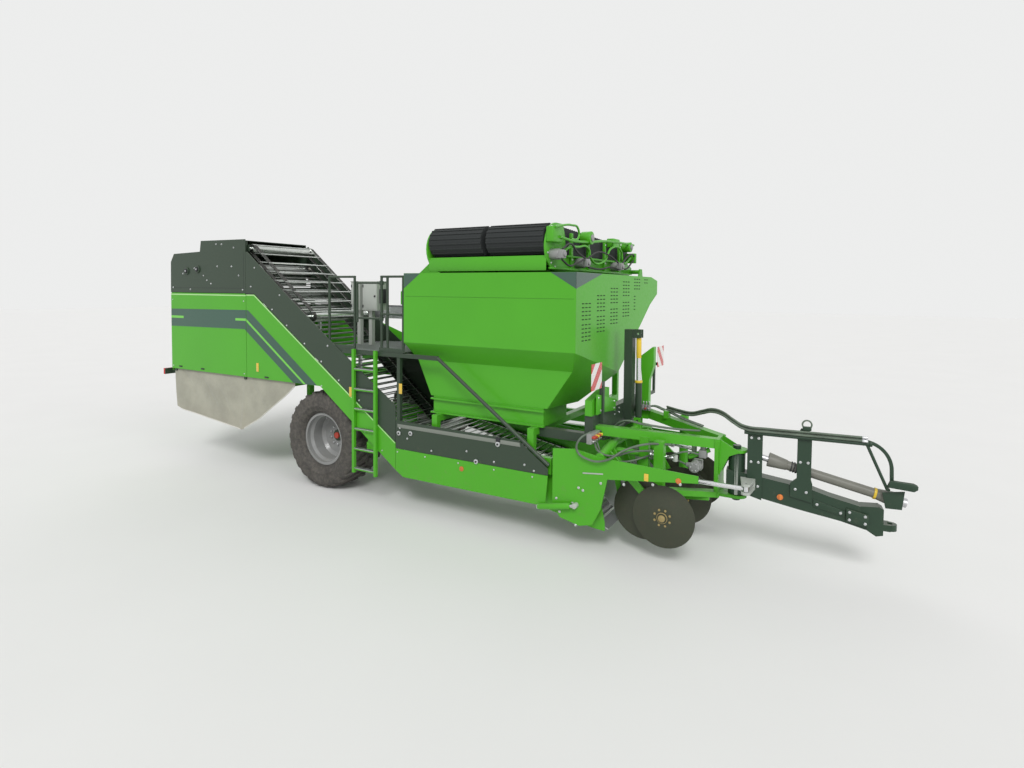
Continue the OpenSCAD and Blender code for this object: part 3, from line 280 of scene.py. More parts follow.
def bolt(size):
    """Hexagon head on its washer, standing on the ground plane."""
    washer = bar((0, 0, -0.001), (0, 0, size * 0.16), size * 1.15, 20)
    head = rounded(bar((0, 0, size * 0.1), (0, 0, size * 0.75), size, 6), size * 0.12, 2)
    return join([head, washer])


def bolts(name, body, size, places, finish="zinc"):
    """Bolt heads at (point, normal) places."""
    chance = random.Random(name)
    rows = [facing(point, normal, chance.uniform(0, math.pi)) for point, normal in places]
    return dressed(copies(bolt(size), rows), name, body, finish)


# ---------- Finishes ----------


class Finish:
    """Builds one procedural finish on the piece's own Object coordinates."""

    def __init__(self, name, roughness, metallic=0.0, coat=0.0, specular=0.5):
        self.material = bpy.data.materials.new(name)
        self.material.use_nodes = True
        self.tree = self.material.node_tree
        self.shader = self.tree.nodes["Principled BSDF"]
        self.shader.inputs["Roughness"].default_value = roughness
        self.shader.inputs["Metallic"].default_value = metallic
        self.shader.inputs["Coat Weight"].default_value = coat
        self.shader.inputs["Coat Roughness"].default_value = 0.12
        self.shader.inputs["Specular IOR Level"].default_value = specular
        self.place = self.add("ShaderNodeTexCoord").outputs["Object"]

    def add(self, kind, **values):
        node = self.tree.nodes.new(kind)
        for name, value in values.items():
            setattr(node, name, value)
        return node

    def feed(self, socket, value):
        if isinstance(value, bpy.types.NodeSocket):
            self.tree.links.new(value, socket)
        elif hasattr(value, "__len__") and len(value) == 3 and socket.type == "RGBA":
            socket.default_value = (*value, 1)
        else:
            socket.default_value = value

    def stretched(self, scale):
        node = self.add("ShaderNodeMapping")
        self.feed(node.inputs["Vector"], self.place)
        node.inputs["Scale"].default_value = scale
        return node.outputs["Vector"]

    def noise(self, scale, detail=3.0, rough=0.5, place=None):
        node = self.add("ShaderNodeTexNoise")
        self.feed(node.inputs["Vector"], place or self.place)
        node.inputs["Scale"].default_value = scale
        node.inputs["Detail"].default_value = detail
        node.inputs["Roughness"].default_value = rough
        return node.outputs["Fac"]

    def wave(self, scale, direction, distortion=0.0):
        node = self.add("ShaderNodeTexWave", bands_direction=direction)
        self.feed(node.inputs["Vector"], self.place)
        node.inputs["Scale"].default_value = scale
        node.inputs["Distortion"].default_value = distortion
        return node.outputs["Fac"]

    def span(self, value, low, high, to_low=0.0, to_high=1.0):
        node = self.add("ShaderNodeMapRange", interpolation_type="SMOOTHSTEP")
        for name, given in zip(("Value", "From Min", "From Max", "To Min", "To Max"),
                               (value, low, high, to_low, to_high)):
            self.feed(node.inputs[name], given)
        return node.outputs["Result"]

    def maths(self, operation, a, b=0.0):
        node = self.add("ShaderNodeMath", operation=operation)
        self.feed(node.inputs[0], a)
        self.feed(node.inputs[1], b)
        return node.outputs["Value"]

    def mix(self, factor, a, b):
        node = self.add("ShaderNodeMix", data_type="RGBA")
        self.feed(node.inputs[0], factor)
        self.feed(node.inputs[6], a)
        self.feed(node.inputs[7], b)
        return node.outputs[2]

    def along(self, axis):
        node = self.add("ShaderNodeSeparateXYZ")
        self.feed(node.inputs[0], self.place)
        return node.outputs[axis]

    def facing_up(self):
        node = self.add("ShaderNodeSeparateXYZ")
        self.feed(node.inputs[0], self.add("ShaderNodeNewGeometry").outputs["Normal"])
        return self.span(node.outputs["Z"], 0.55, 0.98)

    def edges(self, radius):
        """1 along edges that the bevel would round, 0 on flat faces."""
        soft = self.add("ShaderNodeBevel", samples=3)
        soft.inputs["Radius"].default_value = radius
        dot = self.add("ShaderNodeVectorMath", operation="DOT_PRODUCT")
        self.feed(dot.inputs[0], soft.outputs["Normal"])
        self.feed(dot.inputs[1], self.add("ShaderNodeNewGeometry").outputs["Normal"])
        return soft.outputs["Normal"], self.span(dot.outputs["Value"], 0.995, 0.8)

    def finish(self, colour, roughness=None, height=None, depth=0.0, strength=0.3, normal=None):
        self.feed(self.shader.inputs["Base Color"], colour)
        if roughness is not None:
            self.feed(self.shader.inputs["Roughness"], roughness)
        if height is not None:
            bump = self.add("ShaderNodeBump")
            bump.inputs["Strength"].default_value = strength
            bump.inputs["Distance"].default_value = depth
            self.feed(bump.inputs["Height"], height)
            if normal is not None:
                self.feed(bump.inputs["Normal"], normal)
            self.feed(self.shader.inputs["Normal"], bump.outputs["Normal"])
        elif normal is not None:
            self.feed(self.shader.inputs["Normal"], normal)
        return self.material


def shade(colour, share):
    return tuple(min(1.0, part * share) for part in colour)


SOIL = (0.20, 0.165, 0.115)


def enamel(name, colour, roughness=0.38, coat=0.14, dust=0.16, wear=0.3):
    """Sprayed enamel: faint orange peel, settled dust, soil low down, rubbed edges."""
    paint = Finish(name, roughness, coat=coat, specular=0.35)
    tone = paint.mix(paint.noise(1.3, 3), shade(colour, 0.90), shade(colour, 1.08))
    speck = paint.noise(38, 4, 0.65)
    settled = paint.maths("MULTIPLY", paint.facing_up(), paint.span(speck, 0.3, 0.7, 0.35, 1.0))
    tone = paint.mix(paint.maths("MULTIPLY", settled, dust), tone, (0.42, 0.40, 0.33))
    low = paint.span(paint.along("Z"), 1.15, 0.25)
    splash = paint.maths("MULTIPLY", low, paint.span(paint.noise(11, 6, 0.7), 0.52, 0.78))
    tone = paint.mix(paint.maths("MULTIPLY", splash, 0.4), tone, SOIL)
    soft, edge = paint.edges(0.004)
    rubbed = paint.maths("MULTIPLY", edge, paint.span(paint.noise(23, 4), 0.35, 0.65, 0.2, 1.0))
    tone = paint.mix(paint.maths("MULTIPLY", rubbed, wear), tone, shade(colour, 1.9))
    gloss = paint.span(speck, 0.2, 0.8, roughness - 0.06, roughness + 0.10)
    gloss = paint.maths("ADD", gloss, paint.maths("MULTIPLY", splash, 0.3))
    return paint.finish(tone, gloss, paint.noise(420, 2), 0.0006, 0.12, soft)


def bare_metal(name, colour, roughness=0.35, stretch=(1, 1, 1), rust=0.0, metallic=1.0):
    """Bare or plated steel with fine scratches and, where wanted, rust in its hollows."""
    metal = Finish(name, roughness, metallic=metallic)
    scratch = metal.noise(160, 5, 0.7, metal.stretched(stretch))
    tone = metal.mix(metal.span(scratch, 0.3, 0.7), shade(colour, 0.8), shade(colour, 1.12))
    patch = metal.span(metal.noise(7, 6, 0.7), 0.48, 0.72)
    if rust:
        tone = metal.mix(metal.maths("MULTIPLY", patch, rust), tone, (0.17, 0.085, 0.04))
    soft, edge = metal.edges(0.002)
    tone = metal.mix(metal.maths("MULTIPLY", edge, 0.3), tone, shade(colour, 1.35))
    gloss = metal.span(scratch, 0.25, 0.75, roughness - 0.08, roughness + 0.14)
    return metal.finish(tone, gloss, scratch, 0.0004, 0.18, soft)


def rubber(name, colour, roughness=0.72, dust=0.35):
    """Rubber greyed by brownish dust in patches."""
    skin = Finish(name, roughness, specular=0.35)
    cloud = skin.noise(5, 6, 0.65)
    tone = skin.mix(skin.span(cloud, 0.3, 0.75), colour, shade(colour, 1.7))
    dusty = skin.maths("MULTIPLY", skin.span(skin.noise(24, 5, 0.7), 0.38, 0.7), dust)
    tone = skin.mix(dusty, tone, (0.20, 0.18, 0.15))
    gloss = skin.span(cloud, 0.2, 0.8, roughness - 0.08, roughness + 0.12)
    return skin.finish(tone, gloss, skin.noise(260, 3), 0.0008, 0.25)


def plastic(name, colour, roughness=0.45):
    """Moulded plastic with a fine spark-eroded grain."""
    shell = Finish(name, roughness, specular=0.45)
    tone = shell.mix(shell.noise(9, 4), shade(colour, 0.85), shade(colour, 1.2))
    grain = shell.noise(700, 2)
    soft, edge = shell.edges(0.0015)
    tone = shell.mix(shell.maths("MULTIPLY", edge, 0.35), tone, shade(colour, 1.6))
    gloss = shell.span(grain, 0.2, 0.8, roughness - 0.05, roughness + 0.1)
    return shell.finish(tone, gloss, grain, 0.0003, 0.3, soft)


def lens(name, colour):
    """Moulded lens with fine prisms behind a glossy skin."""
    glass = Finish(name, 0.12, coat=0.8)
    prism = 0.008
    prisms = glass.maths("MULTIPLY", glass.wave(0.5 / prism, "Y"), glass.wave(0.5 / prism, "Z"))
    tone = glass.mix(prisms, shade(colour, 0.55), shade(colour, 1.25))
    # Faint glow in the lens's own colour: painted light, since these lenses give no light of their own.
    glass.shader.inputs["Emission Strength"].default_value = 0.05
    glass.feed(glass.shader.inputs["Emission Color"], colour)
    return glass.finish(tone, None, prisms, 0.001, 0.35)


def canvas(name, colour):
    """Coated canvas: plain weave, uneven tone and a soil line at its foot."""
    cloth = Finish(name, 0.62, specular=0.3)
    cloth.shader.inputs["Sheen Weight"].default_value = 0.25
    warp = cloth.wave(260, "X", distortion=0.4)
    weft = cloth.wave(260, "Z", distortion=0.4)
    weave = cloth.maths("MAXIMUM", warp, weft)
    tone = cloth.mix(cloth.span(cloth.noise(2.2, 5, 0.6), 0.3, 0.7), shade(colour, 0.84), shade(colour, 1.12))
    tone = cloth.mix(cloth.maths("MULTIPLY", weave, 0.12), tone, shade(colour, 0.7))
    foot = cloth.maths("MULTIPLY", cloth.span(cloth.along("Z"), 1.05, 0.65), cloth.noise(9, 6, 0.7))
    tone = cloth.mix(cloth.maths("MULTIPLY", foot, 0.55), tone, (0.33, 0.30, 0.24))
    return cloth.finish(tone, cloth.span(cloth.noise(30, 4), 0.2, 0.8, 0.5, 0.75), weave, 0.0006, 0.35)


def striped_sheet(name):
    """Red and white reflective sheet, its stripes falling outwards on both sides."""
    film = Finish(name, 0.3, coat=0.5)
    pitch, centre = 0.26, -0.114
    across = film.maths("ABSOLUTE", film.maths("ADD", film.along("Y"), -centre))
    run = film.maths("DIVIDE", film.maths("ADD", film.along("Z"), across), pitch)
    band = film.maths("GREATER_THAN", film.maths("FRACT", run), 0.5)
    tone = film.mix(band, (0.78, 0.77, 0.74), (0.56, 0.022, 0.016))
    cells = film.add("ShaderNodeTexVoronoi", feature="DISTANCE_TO_EDGE")
    film.feed(cells.inputs["Vector"], film.place)
    cells.inputs["Scale"].default_value = 260
    comb = film.span(cells.outputs["Distance"], 0.0, 0.08)
    tone = film.mix(film.maths("MULTIPLY", film.maths("SUBTRACT", 1.0, comb), 0.12), tone, (0.6, 0.6, 0.6))
    soft, _ = film.edges(0.001)
    return film.finish(tone, film.span(film.noise(60, 3), 0.3, 0.7, 0.22, 0.4), comb, 0.0002, 0.2, soft)


def make_finishes(look):
    enamel("enamel_green", look.green)
    enamel("enamel_dark", look.dark, 0.42, 0.10, 0.20, 0.4)
    enamel("enamel_drawbar", look.drawbar, 0.42, 0.10, 0.20, 0.4)
    enamel("enamel_grey", look.grey, 0.40, 0.1, 0.15, 0.2)
    enamel("stripe_film", look.stripe, 0.32, 0.3, 0.1, 0.1)
    enamel("pale_green_film", (0.17, 0.60, 0.07), 0.32, 0.3, 0.1, 0.1)
    # Pale green for the top edges of the door and panel: painted highlight on their folds.
    enamel("pale_edge", (0.42, 0.72, 0.30), 0.35, 0.2, 0.1, 0.1)
    enamel("corner_film", look.corner, 0.32, 0.3, 0.1, 0.1)
    enamel("band_strip", (0.20, 0.22, 0.19), 0.45, 0.1, 0.1, 0.2)
    enamel("silver_paint", (0.27, 0.275, 0.27), 0.34, 0.3, 0.15, 0.3)
    # Darker green for the bunker's pressed line and the rear folds: painted shade along the creases.
    enamel("seam_green", shade(look.green, 0.55), 0.4, 0.1, 0.1, 0.0)
    enamel("yellow_paint", (0.75, 0.52, 0.04), 0.4, 0.2, 0.15, 0.3)
    enamel("red_paint", (0.45, 0.05, 0.03), 0.4, 0.2, 0.15, 0.3)
    bare_metal("steel", (0.52, 0.52, 0.50), 0.38, rust=0.25)
    bare_metal("zinc", (0.66, 0.67, 0.68), 0.3)
    bare_metal("galvanised", (0.50, 0.52, 0.52), 0.45, rust=0.08)
    bare_metal("chrome", (0.80, 0.81, 0.82), 0.14)
    bare_metal("web_bar", (0.42, 0.44, 0.42), 0.32, (1, 0.05, 1), 0.25)
    bare_metal("haulm_bar", (0.66, 0.69, 0.66), 0.28, (1, 0.05, 1), 0.1)
    bare_metal("disc_steel", (0.048, 0.055, 0.034), 0.45, rust=0.06, metallic=0.2)
    bare_metal("hub_brass", (0.42, 0.33, 0.15), 0.42, rust=0.2, metallic=0.7)
    rubber("tyre_rubber", (0.050, 0.047, 0.043))
    rubber("belt_rubber", (0.064, 0.070, 0.067), 0.40, 0.18)
    rubber("web_belt", (0.02, 0.022, 0.02), 0.65, 0.25)
    rubber("hose_rubber", (0.09, 0.095, 0.09), 0.45, 0.2)
    rubber("hose_grey", (0.085, 0.115, 0.085), 0.42, 0.2)
    plastic("guard_plastic", (0.035, 0.036, 0.038))
    plastic("guard_grey", (0.17, 0.17, 0.145), 0.45)
    # Pale hem: a painted highlight along the canvas's rolled foot.
    plastic("hem_cloth", (0.62, 0.61, 0.56), 0.6)
    plastic("black_plastic", (0.02, 0.021, 0.022))
    plastic("slot_shadow", (0.012, 0.045, 0.008), 0.8)
    lens("amber_lens", (0.85, 0.22, 0.02))
    lens("yellow_lens", (0.85, 0.55, 0.05))
    lens("red_lens", (0.55, 0.02, 0.015))
    canvas("canvas", look.canvas)
    striped_sheet("warning_sheet")


NODE_FINISH = {
    "enamel_green": "chassis front_frame axle digging_frame side_panel skirt rear_door rear_housing ladder "
    "filling_elevator bunker bunker_trough discharge_frame parking_leg_tube",
    "enamel_dark": "cross_beam rear_frame elevator_sides skirt_band rear_covers platform railing gate "
    "steer_barrel lift_barrel",
    "enamel_drawbar": "drawbar hitch_head hose_hoop",
    "enamel_grey": "cabinets",
    "steel": "knuckle_right knuckle_left pto_shaft parking_leg shares ridge_roller_1 ridge_roller_2",
    "chrome": "steer_rod lift_rod",
    "disc_steel": "disc_1 disc_2 disc_3 disc_4 disc_5",
    "silver_paint": "rim_right rim_left",
    "tyre_rubber": "tyre_right tyre_left",
    "web_bar": "first_web second_web",
    "haulm_bar": "haulm_web",
    "galvanised": "picking_table",
    "belt_rubber": "discharge_belt cross_conveyor",
    "hose_rubber": "hose_bundle",
    "guard_plastic": "pto_guard",
    "canvas": "cloth_skirt",
    "warning_sheet": "warning_plates",
    "red_lens": "rear_lamps",
}


def recolour(node, finish, inside):
    """Gives a second finish to a node's faces whose middle passes the test."""
    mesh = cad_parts[node].data
    mesh.materials.append(bpy.data.materials[finish])
    index = len(mesh.materials) - 1
    for face in mesh.polygons:
        if inside(face.center - Vector((axle_x, 0, 0)), face.normal):
            face.material_index = index


def finish_nodes():
    for finish, names in NODE_FINISH.items():
        for name in names.split():
            painted(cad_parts[name], finish)
    for side in ("right", "left"):
        out = -1 if side == "right" else 1
        reach = lambda p: math.hypot(p.x, p.z - hub_z)
        depth = lambda p, out=out: out * (p.y - out * abs(wheel_y))
        recolour(f"rim_{side}", "enamel_drawbar", lambda p, n: reach(p) < 0.079 and depth(p) > -0.075)
        recolour(f"rim_{side}", "red_paint", lambda p, n: reach(p) < 0.049 and -0.031 < depth(p) < 0)
        recolour(f"rim_{side}", "zinc", lambda p, n: 0.115 < reach(p) < 0.155 and -0.0615 < depth(p) < -0.03)
    recolour("haulm_web", "web_belt", lambda p, n: belt_face(p, -1.31, ELEVATOR_LEFT - 0.008, n))
    recolour("second_web", "web_belt", lambda p, n: belt_face(p, -1.31, ELEVATOR_LEFT - 0.008, n))
    recolour("first_web", "web_belt", lambda p, n: belt_face(p, -1.294, 0.174, n))
    recolour("filling_elevator", "belt_rubber", lambda p, n: -0.026 < p.y < 0.726)
    recolour("picking_table", "belt_rubber", lambda p, n: -0.017 < p.y < 0.717 and 2.355 < p.z < 2.485)
    recolour("cross_conveyor", "enamel_dark", lambda p, n: not -3.205 < p.x < -1.755)
    recolour("rear_lamps", "enamel_dark", lambda p, n: p.x > -3.665)
    turn = Matrix.Rotation(-DRAWBAR_YAW, 4, "Z") @ Matrix.Translation(-DRAWBAR_PIN)

    def on_steering_arm(p, n):
        along, across, _ = turn @ p
        return across < -0.081 and 0.76 < p.z < 0.88 and along < 0.195

    recolour("drawbar", "enamel_grey", on_steering_arm)


def belt_face(place, low, high, normal):
    """A face of one of a web's two edge belts, and not of its bars."""
    on_edge = low - 0.001 < place.y < low + 0.061 or high - 0.061 < place.y < high + 0.001
    return on_edge and abs(normal.y) < 0.99


# ---------- Sheet trim ----------


def make_stripes():
    """Dark band with its pinstripe, split where the rear door meets the side panel."""
    def band(name, body, low, high):
        dressed(side_plate([*low, *high]), name, body, "stripe_film")

    band("band_on_door", "rear_door",
         [(-3.445, 2.160), (-1.547, 2.178), (-1.509, 2.152)], [(-1.509, 2.467), (-3.445, 2.446)])
    band("band_on_panel", "chassis",
         [(-1.499, 2.145), (-0.474, 1.457), (0.012, 1.457)], [(-1.464, 2.468), (-1.499, 2.4675)])

    def pinstripe(name, body, outlines):
        pieces = [side_plate(outline, 0.0018, -0.001) for outline in outlines]
        dressed(join(pieces), name, body, "pale_green_film")

    pinstripe("pinstripe_on_door", "rear_door", [
        [(-3.445, 2.295), (-3.10, 2.297), (-3.10, 2.335), (-3.445, 2.334)],
        [(-1.76, 2.302), (-1.516, 2.303), (-1.509, 2.300), (-1.509, 2.340), (-1.76, 2.338)],
    ])
    pinstripe("pinstripe_on_panel", "chassis", [
        [(-1.499, 2.293), (-0.268, 1.457), (-0.213, 1.457), (-1.494, 2.330), (-1.499, 2.331)],
    ])
    # The pale lines along the top edges of the door and panel are painted highlights on their folds.
    edge = [side_plate([(-3.445, 2.676), (-1.509, 2.676), (-1.509, 2.694), (-3.445, 2.694)])]
    dressed(join(edge), "edge_line_on_door", "rear_door", "pale_edge")
    edge = [
        side_plate([(-1.499, 2.683), (-1.324, 2.683), (-1.318, 2.701), (-1.499, 2.701)]),
        side_plate([(-1.324, 2.683), (0.532, 1.434), (0.541, 1.449), (-1.318, 2.701)]),
        side_plate([(0.532, 1.434), (1.415, 0.841), (1.423, 0.851), (0.541, 1.449)]),
    ]
    dressed(join(edge), "edge_line_on_panel", "chassis", "pale_edge")


def make_bunker_trim():
    """Corner triangles, ventilation slots and the pressed line on the bunker."""
    rear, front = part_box("bunker")[0].x - axle_x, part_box("bunker")[1].x - axle_x
    rim = 2.998
    triangles = [
        side_plate([(rear + 0.003, rim), (rear + 0.003, 2.812), (rear + 0.26, rim)]),
        side_plate([(front - 0.30, rim), (front, 2.822), (front + 0.0012, 2.822), (front + 0.0012, rim)]),
        plate([at(front - 0.001, -1.4512, 2.822), at(front - 0.001, -0.72, rim),
               at(front - 0.001, -1.4512, rim)],
              FRONT * 0.0024),
    ]
    dressed(join(triangles), "corner_triangles", "chassis", "corner_film")
    model = rounded(block((-0.031, -0.0065, -0.001), (0.031, 0.0065, 0.0012)), 0.005, 3)
    rows = []
    for column in range(6):
        for top in (2.680 + 0.085 * column, 2.450 + 0.075 * column):
            for k in range(15):
                y = -1.262 + 0.425 * column + 0.092 * (k % 3)
                z = top - 0.018 - 0.043 * (k // 3)
                if z < 2.97 and top - 0.2 > 2.1 + max(0.0, y + 0.45) * 0.5 and y < 1.0:
                    rows.append(facing(at(front, y, z), FRONT))
    dressed(copies(model, rows), "bunker_slots", "chassis", "slot_shadow")
    rear, front = rear + 0.02, front - 0.02
    # The pressed line is a darker green strip: painted shade along it.
    seam = side_plate([(rear, 2.712), (front, 2.712), (front, 2.716), (rear, 2.716)], 0.0008)
    dressed(seam, "bunker_seam", "chassis", "seam_green")


def make_panel_fittings():
    """Bolts, latches, bearing caps, seams and the light strip on the side sheets."""
    cover = [(-3.10, 3.025), (-2.787, 3.109), (-2.547, 2.990), (-2.461, 2.916), (-2.36, 2.863),
             (-2.192, 3.131), (-1.842, 3.125), (-1.672, 2.986), (-2.081, 3.471), (-2.215, 3.475),
             (-1.784, 3.411), (-3.38, 2.80), (-2.9, 2.77), (-1.58, 2.77)]
    slope = [(-1.389, 2.820), (-0.916, 2.489), (-0.60, 2.270), (-0.235, 2.028), (0.096, 1.798),
             (0.430, 1.566), (0.80, 1.330), (1.10, 1.130), (-1.30, 3.10), (-0.75, 2.70), (0.22, 2.02)]
    band = [(1.50, 1.05), (1.62, 0.93), (2.52, 0.90), (3.30, 0.86), (3.42, 0.81), (2.0, 0.83), (2.9, 0.83)]
    spots = [(at(x, side_y, z), RIGHT) for x, z in cover + slope + band]
    bolts("side_sheet_bolts", "chassis", 0.011, spots)
    skirt = [(1.46, 0.74), (1.9, 0.74), (2.4, 0.74), (2.9, 0.74), (3.4, 0.74), (1.20, 0.72), (0.9, 0.93),
             (0.1, 1.46)]
    bolts("skirt_bolts", "chassis", 0.009, [(at(x, side_y, z), RIGHT) for x, z in skirt])
    door = [(-3.40, 1.50), (-1.56, 1.50), (-3.40, 2.60), (-1.56, 2.60)]
    bolts("door_bolts", "rear_door", 0.009, [(at(x, side_y, z), RIGHT) for x, z in door])
    caps = []
    for x, z in ((-2.992, 3.065), (-2.699, 3.090)):
        caps.append(stud(x, z, 0, 0.016, 0.062, 28, 0.004, "enamel_dark"))
        caps.append(stud(x, z, 0.014, 0.030, 0.036, 24, 0.004, "black_plastic"))
        caps.append(stud(x, z, 0.028, 0.034, 0.014, 16, 0.002, "zinc"))
    dressed(join(caps), "bearing_caps", "chassis")

    def latch(x, z):
        pocket = painted(patch(x, z, 0.045, 0.012, 0.002), "black_plastic")
        handle = painted(block(at(x - 0.035, side_y - 0.012, z - 0.005),
                               at(x + 0.035, side_y - 0.001, z + 0.005), 0.003), "enamel_dark")
        return [pocket, handle]

    dressed(join(latch(-2.602, 1.497) + latch(-3.2, 1.497)), "door_latches", "rear_door")
    dressed(join(latch(-1.048, 1.485)), "panel_latch", "chassis")
    strip = [side_plate([(1.46, 1.052), (3.245, 1.052), (3.235, 1.098), (1.46, 1.098)], 0.003, bevel=0.001)]
    dressed(join(strip), "band_strip_piece", "chassis", "band_strip")
    knobs = []
    for x, z in ((2.955, 1.045), (1.68, 1.005), (2.66, 0.80), (1.49, 0.985)):
        knobs.append(stud(x, z, 0, 0.018, 0.030, 24, 0.005, "zinc"))
        knobs.append(stud(x, z, 0.016, 0.026, 0.013, 6, 0.002, "black_plastic"))
    knobs.append(painted(block(at(2.93, side_y - 0.02, 1.075), at(2.985, side_y, 1.125), 0.006),
                         "black_plastic"))
    dressed(join(knobs), "round_latches", "chassis")
    seams = [
        side_plate([(-1.556, 2.74), (-1.552, 2.74), (-1.552, 3.33), (-1.556, 3.33)], 0.0008),
        side_plate([(-3.43, 2.792), (-1.556, 2.792), (-1.556, 2.796), (-3.43, 2.796)], 0.0008),
    ]
    dressed(join(seams), "cover_seams", "chassis", "black_plastic")


# ---------- Wheels ----------

CARCASS = [
    (0.002, 0.2095), (0.024, 0.2095), (0.034, 0.250), (0.060, 0.272), (0.066, 0.280), (0.074, 0.280),
    (0.080, 0.286), (0.118, 0.2955), (0.122, 0.299), (0.132, 0.300), (0.137, 0.297), (0.190, 0.299),
    (0.235, 0.298), (0.272, 0.290), (0.296, 0.266), (0.309, 0.215), (0.313, 0.120), (0.313, 0.0),
]


def tread_height(lateral):
    """Radius over the lugs at a distance from the tyre's middle."""
    shape = [(0.0, 0.685), (0.12, 0.685), (0.215, 0.6805), (0.262, 0.6665), (0.292, 0.630), (0.300, 0.600)]
    for (a, low), (b, high) in zip(shape, shape[1:]):
        if lateral <= b:
            return low + (high - low) * (lateral - a) / (b - a)
    return shape[-1][1]


def make_tyre(side, lugs):
    """Carcass spun from its section, with slanting lugs on both shoulders."""
    middle = Vector((axle_x, side * abs(wheel_y), hub_z))
    rim = 0.345
    section = [(rim + rise, half) for rise, half in CARCASS]
    inside = [(rim + 0.002, 0.17), (rim + 0.03, 0.19), (rim + 0.13, 0.255), (rim + 0.24, 0.24),
              (rim + 0.29, 0.1)]
    bore = [(r, -h) for r, h in inside] + [(r, h) for r, h in inside[::-1]]
    loop = section + [(r, -h) for r, h in section[-2::-1]] + bore
    deselect()
    bpy.ops.mesh.primitive_circle_add(vertices=len(loop), fill_type="NOTHING")
    carcass = bpy.context.object
    for vertex, (radius, half) in zip(carcass.data.vertices, loop):
        vertex.co = middle + Vector((0, half, radius))
    bpy.ops.object.mode_set(mode="EDIT")
    bpy.ops.mesh.select_all(action="SELECT")
    bpy.ops.mesh.spin(steps=96, angle=2 * math.pi, center=middle, axis=(0, 1, 0))
    bpy.ops.mesh.select_all(action="SELECT")
    bpy.ops.mesh.remove_doubles(threshold=0.0004)
    close_shell()
    settle(carcass)

    def lug(hand):
        piece = block((-0.5, 0, 0), (0.5, 1, 1))
        select(piece)
        bpy.ops.object.mode_set(mode="EDIT")
        for cut in (0.25, 0.5, 0.72, 0.9):
            bpy.ops.mesh.select_all(action="SELECT")
            bpy.ops.mesh.bisect(plane_co=(0, cut, 0), plane_no=(0, 1, 0))
        bpy.ops.object.mode_set(mode="OBJECT")
        for vertex in piece.data.vertices:
            x, t, high = vertex.co
            lateral = 0.022 + 0.276 * t
            width = (0.074 - 0.012 * t) * (1.0 if high > 0.5 else 1.25)
            turn = (0.30 * t - 0.06 * math.sin(math.pi * t)) + x * width / 0.66
            radius = tread_height(lateral) - (0.0 if high > 0.5 else 0.045)
            vertex.co = Vector((math.sin(turn) * radius, hand * lateral, math.cos(turn) * radius))
        select(piece)
        bpy.ops.object.mode_set(mode="EDIT")
        close_shell()
        return rounded(piece, 0.005, 1)

    parts = [carcass]
    for hand in (-1, 1):
        step = 2 * math.pi / lugs
        start = 0.0 if hand < 0 else step / 2
        turns = [Matrix.Translation(middle) @ Matrix.Rotation(start + k * step, 4, "Y") for k in range(lugs)]
        parts.append(copies(lug(hand), turns))
    name = "right" if side < 0 else "left"
    tyre = dressed(join(parts), f"treaded_tyre_{name}", f"wheel_{name}", "tyre_rubber", 40)
    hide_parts(f"tyre_{name}")
    valve = [
        bar(middle + Vector((0, side * 0.10, 0.306)), middle + Vector((0, side * 0.15, 0.290)), 0.006,
            12, 0.001),
        bar(middle + Vector((0, side * 0.148, 0.2907)), middle + Vector((0, side * 0.168, 0.284)), 0.008,
            12, 0.002),
    ]
    dressed(join(valve), f"valve_{name}", f"wheel_{name}", "zinc")
    ring = []
    for k in range(10):
        turn = math.radians(36 * k + 18)
        spot = middle + Vector((0.135 * math.cos(turn), -side * 0.038, 0.135 * math.sin(turn)))
        ring.append((spot, Vector((0, side, 0))))
    bolts(f"wheel_nuts_{name}", f"wheel_{name}", 0.013, ring)


# ---------- Cloth, hoses and belts ----------


def fold_depth(x, z, fold_x, fold_z, width):
    """How deep a slanting fold is at a place on the cloth."""
    across = math.exp(-(((x - fold_x + (z - fold_z) * 0.9) / width) ** 2))
    return 0.008 * across * math.exp(-(((z - fold_z) / 0.28) ** 2))


